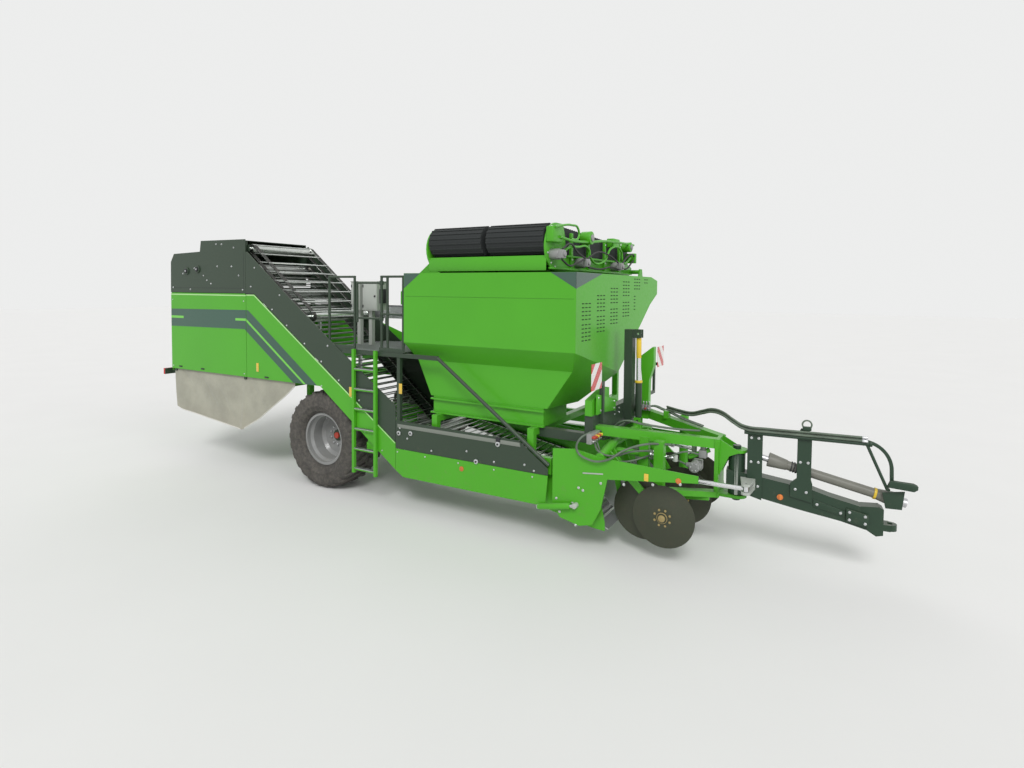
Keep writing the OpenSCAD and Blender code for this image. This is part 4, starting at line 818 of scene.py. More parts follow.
def make_cloth():
    """Canvas skirt that hangs under the rear, creased at its lowest corner."""
    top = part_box("cloth_skirt")[1].z + 0.042
    hang_y = (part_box("cloth_skirt")[0].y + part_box("cloth_skirt")[1].y) / 2
    foot = [(-3.36, 0.82), (-3.25, 0.78), (-1.68, 0.622), (-1.28, 0.83), (-0.65, 1.26), (-0.478, 1.402)]

    def foot_z(x):
        for (a, low), (b, high) in zip(foot, foot[1:]):
            if x <= b:
                return low + (high - low) * (x - a) / (b - a)
        return foot[-1][1]

    deselect()
    bpy.ops.mesh.primitive_grid_add(x_subdivisions=150, y_subdivisions=44, size=1)
    cloth = bpy.context.object
    chance = random.Random(7)
    waves = [(chance.uniform(2.5, 9.0), chance.uniform(0, 6.28), chance.uniform(-0.8, 0.8)) for _ in range(7)]
    folds = [(-3.05, 1.3, 0.05), (-2.45, 1.1, 0.04), (-2.0, 0.95, 0.05), (-1.3, 1.2, 0.04)]
    for vertex in cloth.data.vertices:
        u, v = vertex.co.x + 0.5, 0.5 - vertex.co.y
        x_top, x_foot = -3.430 + 2.952 * u, -3.36 + 2.882 * u
        x = x_top + (x_foot - x_top) * v
        z = top + (foot_z(x_foot) - top) * v
        loose = min(1.0, v * 1.6)
        swell = sum(math.sin(rate * x + phase + lean * z * 3) for rate, phase, lean in waves) * 0.0026 * loose
        crease = -0.020 * math.exp(-(((x + 1.67 - 0.10 * (1 - v)) / 0.045) ** 2)) * v
        crease += sum(fold_depth(x, z, *fold) for fold in folds)
        vertex.co = at(x, hang_y + swell + crease, z)
    select(cloth)
    apply_modifier(cloth, "SOLIDIFY", thickness=0.0016, offset=0)
    apply_modifier(cloth, "SUBSURF", levels=1, render_levels=1)
    # The hem is paler than the canvas: painted highlight along its rolled edge.
    hem_places = (-3.35, -3.3, -3.25, -2.9, -2.5, -2.1, -1.8, -1.7, -1.66, -1.6, -1.4, -1.28, -1.1, -0.9,
                  -0.65, -0.5)
    hem_line = [at(x, hang_y - 0.003, foot_z(x) + 0.006) for x in hem_places]
    hem = dressed(pipe(hem_line, 0.008), "canvas_hem", "chassis", "hem_cloth")
    dressed(cloth, "canvas_skirt", "chassis", "canvas", 60)
    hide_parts("cloth_skirt")
    spans = zip(foot, foot[1:])
    area = 0.5 * 0.07 * 0.588 + sum((b - a) * (top - (low + high) / 2) for (a, low), (b, high) in spans)


def on_drawbar(x, y, z):
    """A point given along the drawbar from its pin."""
    c, s = math.cos(DRAWBAR_YAW), math.sin(DRAWBAR_YAW)
    return at(DRAWBAR_PIN.x + x * c - y * s, DRAWBAR_PIN.y + x * s + y * c, z)


def make_hose_bundle(radius):
    """Three hoses from the frame over to the drawbar and along its tube."""
    route = [(4.51, -0.105, 1.400), (4.68, -0.170, 1.385), (4.85, -0.300, 1.400), (5.0, -0.430, 1.460),
             (5.13, -0.540, 1.510), (5.25, -0.620, 1.505), (5.37, -0.680, 1.450), (5.48, -0.712, 1.405)]
    for k, (across, above) in enumerate(HOSE_OFFSETS):
        points = [at(x, y + across, z + above - 0.034) for x, y, z in route]
        points += [on_drawbar(x, HOSE_SIDE + across, HOSE_HEIGHT + above) for x in (0.3, 0.6, 0.9, 1.13)]
        hose = painted(pipe(points, radius, 6), "hose_grey")
        hose.name = hose.data.name = f"drawbar_hose_{k + 1}"
        select(hose)
        bpy.ops.object.shade_smooth_by_angle(angle=math.radians(50))
        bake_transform(hose)
        if k == 0:
            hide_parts("hose_bundle")


# ---------- Discharge conveyor ----------

FOLD = Vector((1.33, 3.08))
ROLLERS = (Vector((1.13, 3.26)), Vector((-1.27, 3.37)))
BELT_RADIUS = 0.170
BELT_SPANS = ((1.945, 2.690), (2.760, 3.495))
FRONT_PLATE = 3.505


def before_plate(depth, y, z):
    """A point at a depth in front of the conveyor's front plate."""
    return at(FRONT_PLATE + depth, y, z)


def belt_spots(radius, pitch):
    """Places and directions at an even pitch round the two rollers."""
    run = ROLLERS[0] - ROLLERS[1]
    lean = Vector((-run.y, run.x)).normalized()
    start = math.atan2(lean.y, lean.x)
    straight, half = run.length, math.pi * radius
    count = round(2 * (straight + half) / pitch)
    spots = []
    for k in range(count):
        s = k * 2 * (straight + half) / count
        if s < straight:
            place, turn = ROLLERS[1] + run * (s / straight) + lean * radius, start
        elif s < straight + half:
            turn = start - (s - straight) / radius
            place = ROLLERS[0] + Vector((math.cos(turn), math.sin(turn))) * radius
        elif s < 2 * straight + half:
            place = ROLLERS[0] - run * ((s - straight - half) / straight) - lean * radius
            turn = start + math.pi
        else:
            turn = start - math.pi - (s - 2 * straight - half) / radius
            place = ROLLERS[1] + Vector((math.cos(turn), math.sin(turn))) * radius
        spots.append((place, turn))
    return spots


def make_discharge_belt():
    """Two ribbed belts side by side, each a closed loop with cross slats."""
    made = []
    for first, last in BELT_SPANS:
        outline = [at(first, place.x, place.y) for place, _ in belt_spots(BELT_RADIUS, 0.05)]
        made.append(plate(outline, FRONT * (last - first)))
        model = rounded(block((first, -0.010, -0.004), (last, 0.010, 0.010)), 0.004, 2)
        rows = []
        for place, turn in belt_spots(BELT_RADIUS, 0.0605):
            normal = Vector((0, math.cos(turn), math.sin(turn)))
            lie = Matrix((FRONT, normal.cross(FRONT), normal)).transposed().to_4x4()
            rows.append(Matrix.Translation(at(0, place.x, place.y)) @ lie)
        made.append(copies(model, rows))
    belt = dressed(join(made), "ribbed_belts", "discharge_conveyor", "belt_rubber")
    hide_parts("discharge_belt")


def make_discharge_frame():
    """Pressed plate behind, open frame in front, with cheeks, tubes and the hinge barrel."""
    near = Vector((-1.17, 3.29))
    cheek = [(near.x + 0.27 * math.cos(a), near.y + 0.27 * math.sin(a)) for a in
             (math.radians(90 + 180 * k / 14) for k in range(15))]
    whole = [(1.24, 3.02), (1.365, 3.045), (1.375, 3.14), (1.19, 3.44), *cheek]
    front = [(1.24, 3.02), (1.365, 3.045), (1.375, 3.14), (1.10, 3.22), (-0.93, 3.21), (-0.93, 3.40),
             (-1.0, 3.56), *cheek]
    pieces = [
        plate([at(1.900, y, z) for y, z in whole], FRONT * 0.022, 0.004),
        plate([at(FRONT_PLATE, y, z) for y, z in front], FRONT * 0.022, 0.004),
        block(before_plate(0.02, -1.36, 3.035), before_plate(0.055, 1.30, 3.060), 0.004),
        block(before_plate(0.02, -0.92, 3.185), before_plate(0.055, 1.10, 3.208), 0.004),
        block(at(1.915, -1.400, 3.02), before_plate(0.01, -1.390, 3.185), 0.002),
        bar(at(1.864, FOLD.x, FOLD.y), at(3.690, FOLD.x, FOLD.y), 0.030, 20, 0.003),
        bar(at(1.915, -0.70, 3.072), before_plate(0.01, -0.70, 3.072), 0.022, 14),
        bar(at(1.915, 0.20, 3.060), before_plate(0.01, 0.20, 3.060), 0.022, 14),
    ]
    for y in (-0.80, -0.30, 0.25, 0.80):
        pieces.append(block(before_plate(0.018, y - 0.025, 3.05),
                            before_plate(0.050, y + 0.025, 3.47), 0.004))
    frame_piece = dressed(join(pieces), "discharge_sides", "discharge_conveyor",
                          "enamel_green")
    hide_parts("discharge_frame")


def make_discharge_drive():
    """Motors, tubes, hoses and brackets on the front of the discharge conveyor."""

    def plumbing(route, radius):
        return pipe([before_plate(0.12, y, z) for y, z in route], radius)

    green = [
        block(before_plate(0.02, -1.43, 3.33), before_plate(0.11, -1.20, 3.50), 0.014),
        plumbing(((-1.40, 3.49), (-0.97, 3.545), (-0.80, 3.52), (-0.78, 3.43), (-0.97, 3.38)), 0.013),
        plumbing(((-1.28, 3.39), (-0.97, 3.37), (-0.48, 3.39), (0.08, 3.44), (0.79, 3.46), (1.16, 3.46)),
                 0.016),
        plumbing(((-1.23, 3.15), (-1.12, 3.26), (-0.80, 3.31), (-0.47, 3.30), (-0.42, 3.20), (0.03, 3.18),
                  (0.27, 3.36), (0.66, 3.34), (0.73, 3.20), (1.06, 3.27)), 0.014),
        bar(before_plate(0.02, -0.45, 3.44), before_plate(0.15, -0.45, 3.44), 0.080, 28, 0.008),
        bar(before_plate(0.02, 0.98, 3.42), before_plate(0.15, 0.98, 3.42), 0.070, 28, 0.008),
        block(before_plate(0.02, 0.36, 3.38), before_plate(0.12, 0.60, 3.50), 0.012),
        block(before_plate(0.02, 1.10, 3.20), before_plate(0.17, 1.16, 3.34), 0.008),
    ]
    dressed(join(green), "discharge_pipework", "discharge_conveyor", "enamel_green")
    grey = []
    for y, z in ((-1.30, 3.20), (-0.62, 3.13), (0.55, 3.13)):
        grey.append(bar(before_plate(0.02, y, z), before_plate(0.13, y, z), 0.062, 24, 0.006))
        grey.append(block(before_plate(0.10, y - 0.048, z - 0.048),
                          before_plate(0.185, y + 0.048, z + 0.048), 0.010))
        grey.append(bar(before_plate(0.18, y, z), before_plate(0.20, y, z), 0.030, 20, 0.005))
    grey.append(bar(before_plate(0.14, -0.45, 3.44), before_plate(0.165, -0.45, 3.44), 0.042, 24, 0.006))
    grey.append(bar(before_plate(0.14, 0.98, 3.42), before_plate(0.165, 0.98, 3.42), 0.040, 24, 0.006))
    dressed(join(grey), "discharge_motors", "discharge_conveyor", "silver_paint")
    hoses = []
    for k, route in enumerate((
        ((-1.30, 3.14), (-1.10, 3.08), (-0.90, 3.12), (-0.68, 3.17)),
        ((-1.26, 3.26), (-1.05, 3.33), (-0.85, 3.24), (-0.56, 3.17)),
        ((-0.56, 3.08), (-0.20, 3.07), (0.20, 3.11), (0.48, 3.09)),
        ((-0.58, 3.18), (-0.25, 3.28), (0.15, 3.26), (0.48, 3.18)),
        ((0.60, 3.17), (0.80, 3.27), (1.00, 3.32), (1.11, 3.30)),
        ((0.61, 3.10), (0.85, 3.12), (1.02, 3.20), (1.11, 3.24)),
    )):
        hoses.append(pipe([before_plate(0.155 - 0.012 * (k % 2), y, z) for y, z in route], 0.011))
    dressed(join(hoses), "discharge_hoses", "discharge_conveyor", "hose_rubber", 60)
    tops = [(before_plate(0.065, y, 3.50), UP) for y in (-1.38, -1.25)]
    cheeks = [(before_plate(0.022, -1.17 + 0.225 * math.cos(a), 3.29 + 0.225 * math.sin(a)), FRONT)
              for a in (math.radians(v) for v in (110, 200, 235, 262))]
    rails = [(before_plate(0.050, y, z), FRONT) for y in (-0.80, -0.30, 0.25, 0.80)
             for z in (3.09, 3.16, 3.40)]
    bolts("discharge_bolts", "discharge_conveyor", 0.011, tops + cheeks + rails)


# ---------- Digging unit ----------


def make_disc_hubs():
    """Brass-coloured hub cap and star of bolts on every cutting disc."""
    for number in range(1, 6):
        low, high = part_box(f"disc_{number}")
        middle = (low + high) / 2
        toward = -1 if middle.y > -1.0 and number > 3 else 1
        face = low.y + 0.0125 if toward > 0 else high.y - 0.0125
        normal = Vector((0, -toward, 0))
        centre = Vector((middle.x, face, middle.z))
        cap = [
            bar(centre - normal * 0.004, centre + normal * 0.012, 0.056, 32, 0.003),
            bar(centre + normal * 0.008, centre + normal * 0.030, 0.036, 24, 0.006),
        ]
        dressed(join(cap), f"disc_cap_{number}", f"disc_{number}", "hub_brass")
        ring = []
        for k in range(8):
            turn = math.radians(45 * k + 22.5)
            ring.append((centre + Vector((0.083 * math.cos(turn), 0,
                                          0.083 * math.sin(turn))) - normal * 0.001, normal))
        bolts(f"disc_bolts_{number}", f"disc_{number}", 0.011, ring, "hub_brass")


def make_digging_fittings():
    """Bolts, cylinder, the fold line's painted highlight and reflectors on the near digging plate."""
    bolt_face, side_face, cylinder_line = -1.434, -1.4335, -1.475
    places = [(4.00, 0.69), (3.95, 0.71), (3.88, 0.53), (3.92, 0.30), (3.73, 0.41), (3.69, 0.55),
              (4.20, 0.80), (4.45, 0.83), (4.75, 0.88), (5.02, 0.93)]
    bolts("digging_bolts", "digging_unit", 0.013, [(at(x, bolt_face, z), RIGHT) for x, z in places])
    parts = [
        painted(bar(at(3.49, cylinder_line, 0.435), at(3.87, cylinder_line, 0.51), 0.034, 20, 0.004),
                "enamel_green"),
        painted(bar(at(3.865, cylinder_line, 0.509), at(3.93, cylinder_line, 0.522), 0.020, 16, 0.002),
                "zinc"),
        painted(bar(at(3.925, -1.500, 0.522), at(3.925, -1.430, 0.522), 0.028, 20, 0.003), "enamel_grey"),
        painted(bar(at(3.50, -1.500, 0.437), at(3.50, -1.430, 0.437), 0.026, 20, 0.003), "enamel_grey"),
    ]
    dressed(join(parts), "side_cylinder", "digging_unit")
    # The light grey strip along the plate's fold is a painted highlight.
    highlight_and_lenses = [
        painted(plate([at(x, side_face, z)
                       for x, z in ((3.995, 0.883), (4.224, 0.908), (4.224, 0.894), (3.995, 0.869))],
                      RIGHT * 0.004, 0.001), "enamel_grey"),
        painted(block(at(4.66, side_face - 0.007, 0.905), at(4.705, side_face, 0.98), 0.002), "yellow_lens"),
        painted(bar(at(5.003, side_face, 0.960), at(5.003, side_face - 0.008, 0.960), 0.028, 24, 0.002),
                "amber_lens"),
    ]
    dressed(join(highlight_and_lenses), "digging_marks", "digging_unit")


def make_reflectors():
    """Blank yellow and amber reflectors along the side sheets."""
    side = [
        painted(patch(x, z, 0.025, 0.065, 0.006, 0.002), "yellow_lens")
        for x, z in ((0.65, 1.43), (1.51, 1.55), (-1.25, 1.62))
    ]
    side.append(stud(2.45, 0.68, 0, 0.008, 0.030, 24, 0.002, "amber_lens"))
    dressed(join(side), "side_reflectors", "chassis")


# ---------- Front frame ----------


def make_yoke():
    """Motor, hoses, stays and bolts behind the drawbar's pin."""
    grey = [
        bar(at(5.00, -0.80, 0.93), at(5.00, -0.69, 0.93), 0.058, 28, 0.006),
        block(at(4.955, -0.70, 0.875), at(5.055, -0.60, 0.985), 0.010),
        block(at(5.035, -0.755, 1.030), at(5.115, -0.665, 1.115), 0.008),
        bar(at(5.075, -0.71, 1.11), at(5.075, -0.71, 1.17), 0.030, 20, 0.005),
        bar(at(4.90, -0.72, 0.93), at(4.96, -0.72, 0.93), 0.026, 20, 0.004),
    ]
    dressed(join(grey), "yoke_motor", "chassis", "silver_paint")
    loops = [
        laid_pipe(((4.90, -0.72, 0.93), (4.78, -0.76, 0.98), (4.62, -0.86, 1.04), (4.40, -0.98, 1.10)),
                  0.011),
        laid_pipe(((5.075, -0.71, 1.17), (5.02, -0.73, 1.25), (4.86, -0.80, 1.24), (4.60, -0.92, 1.20)),
                  0.011),
        laid_pipe(((5.04, -0.76, 1.07), (4.92, -0.84, 1.10), (4.70, -0.94, 1.02), (4.44, -1.06, 1.02)),
                  0.010),
    ]
    dressed(join(loops), "yoke_hoses", "chassis", "hose_grey", 60)
    green = [
        plate([at(x, -0.760, z) for x, z in ((4.88, 0.57), (5.16, 0.60), (5.16, 0.67), (4.90, 0.64))],
              RIGHT * 0.03, 0.004),
        bar(at(4.93, -0.74, 1.02), at(5.14, -0.70, 1.12), 0.026, 16),
    ]
    dressed(join(green), "yoke_stays", "chassis", "enamel_green")
    places = [(at(5.0 + 0.040 * math.cos(a), -0.800, 0.93 + 0.040 * math.sin(a)), RIGHT)
              for a in (math.radians(60 * k) for k in range(6))]
    bolts("yoke_bolts", "chassis", 0.007, places)


def make_front_hydraulics():
    """Valve block, couplings and hose loops on the front of the cross beam."""
    block_piece = [
        block(at(4.032, -1.44, 1.19), at(4.09, -1.20, 1.30), 0.006),
        block(at(4.032, -0.98, 1.17), at(4.08, -0.80, 1.27), 0.006),
        block(at(4.032, -0.10, 1.17), at(4.08, 0.12, 1.27), 0.006),
    ]
    dressed(join(block_piece), "valve_blocks", "chassis", "silver_paint")
    caps = []
    for k in range(5):
        y = -1.415 + 0.048 * k
        tint = ("red_paint", "red_paint", "yellow_paint", "red_paint", "yellow_paint")[k]
        caps.append(painted(bar(at(4.085, y, 1.262), at(4.130, y, 1.262), 0.015, 16, 0.003), tint))
        caps.append(painted(bar(at(4.085, y, 1.222), at(4.115, y, 1.222), 0.011, 12, 0.002), "zinc"))
    for first in (-0.96, -0.08):
        for k in range(3):
            y = first + 0.06 * k
            caps.append(painted(bar(at(4.075, y, 1.235), at(4.105, y, 1.235), 0.012, 12, 0.002), "zinc"))
    for k in range(4):
        x, y = 4.160 + 0.036 * k, -0.005
        caps.append(painted(block(at(x - 0.013, y - 0.05, 1.33), at(x + 0.013, y, 1.40), 0.004),
                            "silver_paint"))
        caps.append(painted(bar(at(x, y - 0.03, 1.395), at(x, y - 0.03, 1.445), 0.010, 12, 0.002), "zinc"))
        caps.append(painted(bar(at(x, y - 0.05, 1.36), at(x, y - 0.085, 1.36), 0.010, 12, 0.002),
                            ("yellow_paint", "zinc", "red_paint", "zinc")[k]))
    dressed(join(caps), "coupling_caps", "chassis")
    hoses = [
        laid_pipe(((4.06, -1.38, 1.31), (3.97, -1.47, 1.24), (3.945, -1.475, 1.12), (4.06, -1.475, 1.045),
                   (4.26, -1.472, 1.058), (4.42, -1.36, 1.16), (4.60, -1.18, 1.21), (4.80, -0.98, 1.19)),
                   0.012),
        laid_pipe(((4.08, -1.34, 1.20), (4.16, -1.40, 1.12), (4.30, -1.38, 1.09), (4.46, -1.26, 1.13),
                   (4.64, -1.10, 1.13)), 0.011),
        laid_pipe(((4.08, -1.28, 1.20), (4.18, -1.28, 1.03), (4.36, -1.22, 1.00), (4.60, -1.04, 1.06)),
                  0.010),
    ]
    for k in range(4):
        z = 1.175 + 0.026 * k
        hoses.append(pipe([at(4.075 + 0.012 * (k % 2), y, z + drop) for y, drop in
                           ((-1.20, 0.04), (-1.05, -0.01), (-0.70, -0.03), (-0.42, -0.02))], 0.009))
    for k in range(3):
        hoses.append(pipe([at(x, y - 0.03 * k, z + 0.004 * k) for x, y, z in
                           ((4.10, -0.86, 1.235), (4.25, -0.88, 1.36), (4.48, -0.86, 1.345),
                            (4.80, -0.74, 1.31), (5.02, -0.62, 1.295))], 0.009))
        hoses.append(pipe([at(x, y + 0.028 * k, z) for x, y, z in
                           ((4.10, 0.02, 1.235), (4.24, 0.06, 1.36), (4.45, -0.05, 1.36), (4.75, -0.27, 1.32),
                            (5.00, -0.44, 1.30))], 0.009))
    dressed(join(hoses), "front_hoses", "chassis", "hose_grey", 60)
    arms = []
    for start, end in (((4.10, -1.02, 1.06), (4.84, -0.86, 1.02)),
                       ((4.30, -0.62, 1.16), (4.98, -0.62, 1.08))):
        start, end = at(*start), at(*end)
        run = end - start
        arms.append(painted(bar(start, start + run * 0.62, 0.034, 24, 0.005), "enamel_green"))
        arms.append(painted(bar(start + run * 0.60, start + run * 0.65, 0.037, 24, 0.004), "zinc"))
        arms.append(painted(bar(start + run * 0.62, end, 0.019, 20, 0.002), "chrome"))
        for share in (0.02, 0.97):
            spot = start + run * share
            arms.append(painted(bar(spot - UP * 0.035, spot + UP * 0.035, 0.028, 20, 0.004), "enamel_grey"))
    dressed(join(arms), "frame_cylinders", "chassis")
    cover = plate([at(4.034, y, z)
                   for y, z in ((-1.20, 1.685), (-0.62, 1.545), (-0.63, 1.415), (-1.03, 1.455),
                                (-1.20, 1.455))],
                  FRONT * 0.02, 0.004)
    dressed(cover, "beam_cover", "chassis", "enamel_green")
    spots = [(at(4.054, y, z), FRONT)
             for y, z in ((-1.16, 1.64), (-0.68, 1.53), (-0.68, 1.45), (-1.10, 1.49))]
    beam = [(at(4.030, y, z), FRONT) for y in (-1.05, -0.60, -0.45, 0.20, 0.30) for z in (1.36, 1.41)]
    bolts("beam_bolts", "chassis", 0.011, spots + beam)


def make_lift_trim():
    """Yellow sleeve and collars on the lifting cylinder."""
    foot, top = at(4.200, -0.240, 1.240), at(4.190, -0.240, 2.290)
    along = (top - foot).normalized()
    length = (top - foot).length
    collar = [bar(foot + along * (0.435 * length), foot + along * (0.463 * length), 0.046, 28, 0.004)]
    dressed(join(collar), "lift_collar", "lift_barrel", "yellow_paint")
    sleeve = [bar(foot + along * (0.72 * length), foot + along * (0.955 * length), 0.031, 28, 0.005)]
    dressed(join(sleeve), "lift_lock", "lift_rod", "yellow_paint")


# ---------- Drawbar ----------


def make_hose_hoop():
    """Tube on the uprights, with a slender strap and stay down to the coupling hook."""
    y = HOSE_SIDE
    tube = [
        tube_frame([on_drawbar(0.07, y, 1.36), on_drawbar(1.19, y, 1.355)], 0.021),
        tube_frame([on_drawbar(1.17, y, 1.35), on_drawbar(1.352, y, 0.93)], 0.015),
    ]
    through = on_drawbar(0, 0.026, 0) - on_drawbar(0, 0, 0)
    turns = [math.radians(84 - 7 * k) for k in range(13)]
    outer = [on_drawbar(1.135 + 0.262 * math.cos(a), y - 0.013, 1.120 + 0.275 * math.sin(a)) for a in turns]
    inner = [on_drawbar(1.135 + 0.230 * math.cos(a), y - 0.013, 1.120 + 0.243 * math.sin(a))
             for a in reversed(turns)]
    tube.append(plate(outer + [on_drawbar(1.400, y - 0.013, 1.02),
                               on_drawbar(1.368, y - 0.013, 1.02)] + inner, through, 0.003))
    hook = [(1.345, 0.966), (1.37, 1.032), (1.46, 1.026), (1.560, 1.022), (1.592, 1.006), (1.590, 0.972),
            (1.560, 0.950)]
    for shift in (0.0, -0.034):
        tube.append(plate([on_drawbar(u, y - 0.013 + shift, z) for u, z in hook], through * 0.6, 0.004))
    tube.append(bar(on_drawbar(1.555, y - 0.050, 0.985), on_drawbar(1.555, y + 0.006, 0.985), 0.030,
                    24, 0.006))
    tube.append(bar(on_drawbar(1.190, y, 1.355), on_drawbar(1.215, y, 1.354), 0.026, 20, 0.004))
    hoop = dressed(join(tube), "coupling_hoop", "drawbar", "enamel_drawbar")
    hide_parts("hose_hoop")


def make_drawbar_fittings():
    """Plates, loop, reflector, hose ends and bolts on the drawbar's right side."""
    out = on_drawbar(0, -1, 0) - on_drawbar(0, 0, 0)
    side = -0.081

    def on_side(outline, depth):
        return plate([on_drawbar(u, side + 0.001, z) for u, z in outline], out * depth, 0.003)

    dark = [
        on_side([(0.725, 0.735), (1.010, 0.655), (1.010, 0.600), (0.725, 0.660)], 0.010),
        on_side([(1.016, 0.690), (1.209, 0.650), (1.209, 0.535), (1.016, 0.560)], 0.026),
        block_on_drawbar((0.610, -0.135, 1.430), (0.690, -0.105, 1.470)),
    ]
    dressed(join(dark), "drawbar_plates", "drawbar", "enamel_drawbar")
    knob = [
        painted(pipe([on_drawbar(u, -0.118, z) for u, z in
                      ((0.62, 1.45), (0.61, 1.50), (0.65, 1.53), (0.69, 1.50), (0.68, 1.45))], 0.008),
                      "hose_grey"),
        painted(bar(on_drawbar(0.423, side, 0.714), on_drawbar(0.423, side - 0.008, 0.714), 0.030, 24, 0.002),
                "amber_lens"),
    ]
    for across, above in HOSE_OFFSETS:
        begin = on_drawbar(1.125, HOSE_SIDE + across, HOSE_HEIGHT + above)
        end = on_drawbar(1.175, HOSE_SIDE + across, HOSE_HEIGHT - 0.003 + above)
        knob.append(painted(bar(begin, end, 0.014, 12, 0.003), "zinc"))
    dressed(join(knob), "drawbar_reflector", "drawbar")
    places = [(u, side - 0.020, z) for u, z in
              ((0.140, 1.30), (0.210, 1.30), (0.140, 1.05), (0.210, 1.05), (0.140, 0.80), (0.210, 0.80),
               (0.600, 1.38), (0.670, 1.38), (0.600, 1.10), (0.670, 1.10), (0.560, 0.82), (0.660, 0.80))]
    places += [(u, side - 0.009, z) for u, z in ((0.76, 0.69), (0.97, 0.635))]
    places += [(u, side - 0.025, z)
               for u, z in ((1.045, 0.66), (1.180, 0.635), (1.045, 0.585), (1.180, 0.565))]
    bolts("drawbar_bolts", "drawbar", 0.012, [(on_drawbar(*spot), out) for spot in places])


def block_on_drawbar(low, high):
    """Bevelled block along the drawbar, between two corners given from its pin."""
    low, high = Vector(low), Vector(high)
    piece = block(low, high, 0.004)
    piece.data.transform(Matrix.Translation(on_drawbar(0, 0, 0)) @ Matrix.Rotation(DRAWBAR_YAW, 4, "Z"))
    return piece


def make_pto_guard():
    """Guard cones, bellows and yellow ring on the power shaft."""
    start, end = on_drawbar(0.170, 0, 1.100), on_drawbar(1.500, 0, 0.794)
    run = end - start
    bells = [
        painted(bar(start + run * 0.10, start + run * 0.90, 0.047, 28), "guard_grey"),
        painted(bar(start + run * 0.235, start + run * 0.10, 0.052, 28, 0.003, 0.074), "guard_grey"),
        painted(bar(start + run * 0.83, start + run * 0.955, 0.052, 28, 0.003, 0.076), "guard_grey"),
        painted(bar(start + run * 0.815, start + run * 0.832, 0.056, 28, 0.002), "yellow_paint"),
        painted(block_on_drawbar((0.620, -0.079, 0.960), (0.660, -0.030, 1.015)), "guard_plastic"),
        painted(plate([on_drawbar(u, -0.098, z)
                       for u, z in ((1.314, 0.895), (1.500, 0.925), (1.480, 0.745), (1.344, 0.742))],
                      on_drawbar(0, 0.012, 0) - on_drawbar(0, 0, 0), 0.003), "enamel_drawbar"),
        painted(bar(on_drawbar(1.36, -0.125, 0.93), on_drawbar(1.36, -0.086, 0.93), 0.016, 16, 0.003),
                "enamel_drawbar"),
    ]
    for k in range(5):
        share = 0.26 + 0.018 * k
        bells.append(painted(bar(start + run * share, start + run * (share + 0.009), 0.054, 24, 0.002),
                             "guard_plastic"))
    guard = dressed(join(bells), "shaft_guard", "drawbar")
    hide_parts("pto_guard")


# ---------- Platform, ladder and rear ----------


def make_platform_grating():
    """Open grating laid on the deck, with a toe board along its edge."""
    top = 2.0
    bars = []
    count = 34
    for k in range(count):
        x = 0.225 + k * (1.515 - 0.225) / (count - 1)
        left = -0.10 if x > 0.46 else -0.29
        bars.append(block(at(x - 0.003, -1.425, top), at(x + 0.003, left, top + 0.012)))
    for k in range(12):
        y = -1.40 + 0.118 * k
        first = 0.215 if y < -0.30 else 0.46
        bars.append(block(at(first, y - 0.003, top), at(1.525, y + 0.003, top + 0.010)))
    dressed(join(bars), "deck_grating", "chassis", "galvanised")
    toe = [block(at(0.205, -1.4405, top - 0.045), at(0.715, -1.4265, top + 0.05), 0.002),
           block(at(1.14, -1.4405, top - 0.045), at(1.535, -1.4265, top + 0.05), 0.002)]
    dressed(join(toe), "toe_boards", "chassis", "enamel_dark")


def make_ladder_treads():
    """Serrated treads on the ladder's rungs."""
    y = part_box("ladder")[0].y + 0.03
    treads = []
    for k in range(6):
        z = 0.420 + 0.264 * k
        treads.append(block(at(0.752, y - 0.028, z + 0.008), at(1.098, y + 0.028, z + 0.018), 0.003))
        for j in range(14):
            x = 0.765 + j * (1.085 - 0.765) / 13
            treads.append(block(at(x - 0.004, y - 0.026, z + 0.016), at(x + 0.004, y + 0.026, z + 0.023)))
    dressed(join(treads), "ladder_treads", "chassis", "galvanised")


def make_railing_fittings():
    """Feet, knee clamps and end caps of the railing."""
    line = -1.422
    feet = []
    for x in (0.230, 0.700, 1.170, 1.270, 1.530):
        feet.append(block(at(x - 0.035, line - 0.016, 2.0), at(x + 0.035, line + 0.030, 2.012), 0.003))
        feet.append(bar(at(x, line, 2.960), at(x, line, 2.972), 0.019, 20, 0.003))
        feet.append(bar(at(x, line, 2.462), at(x, line, 2.498), 0.022, 20, 0.003))
    dressed(join(feet), "railing_feet", "chassis", "enamel_dark")


def make_cabinets():
    """Doors, handles and hinges on the two grey cabinets."""
    doors, locks = [], []
    for first, last in ((0.210, 0.370), (0.430, 0.700)):
        doors.append(block(at(first + 0.012, -1.006, 2.515), at(last - 0.012, -0.998, 2.885), 0.004))
        doors.append(block(at(first - 0.004, -1.012, 2.897), at(last + 0.012, -0.796, 2.909), 0.003))
        locks.append(bar(at(last - 0.035, -1.004, 2.70), at(last - 0.035, -1.016, 2.70), 0.014, 20, 0.003))
        for z in (2.56, 2.84):
            locks.append(bar(at(first + 0.016, -1.010, z - 0.02), at(first + 0.016, -1.010, z + 0.02), 0.007,
                             12, 0.002))
    dressed(join(doors), "cabinet_doors", "chassis", "enamel_grey")
    dressed(join(locks), "cabinet_locks", "chassis", "black_plastic")
    screen = [block(at(0.705, -0.960, 2.60), at(0.725, -0.830, 2.80), 0.006)]
    dressed(join(screen), "cabinet_vent", "chassis", "black_plastic")


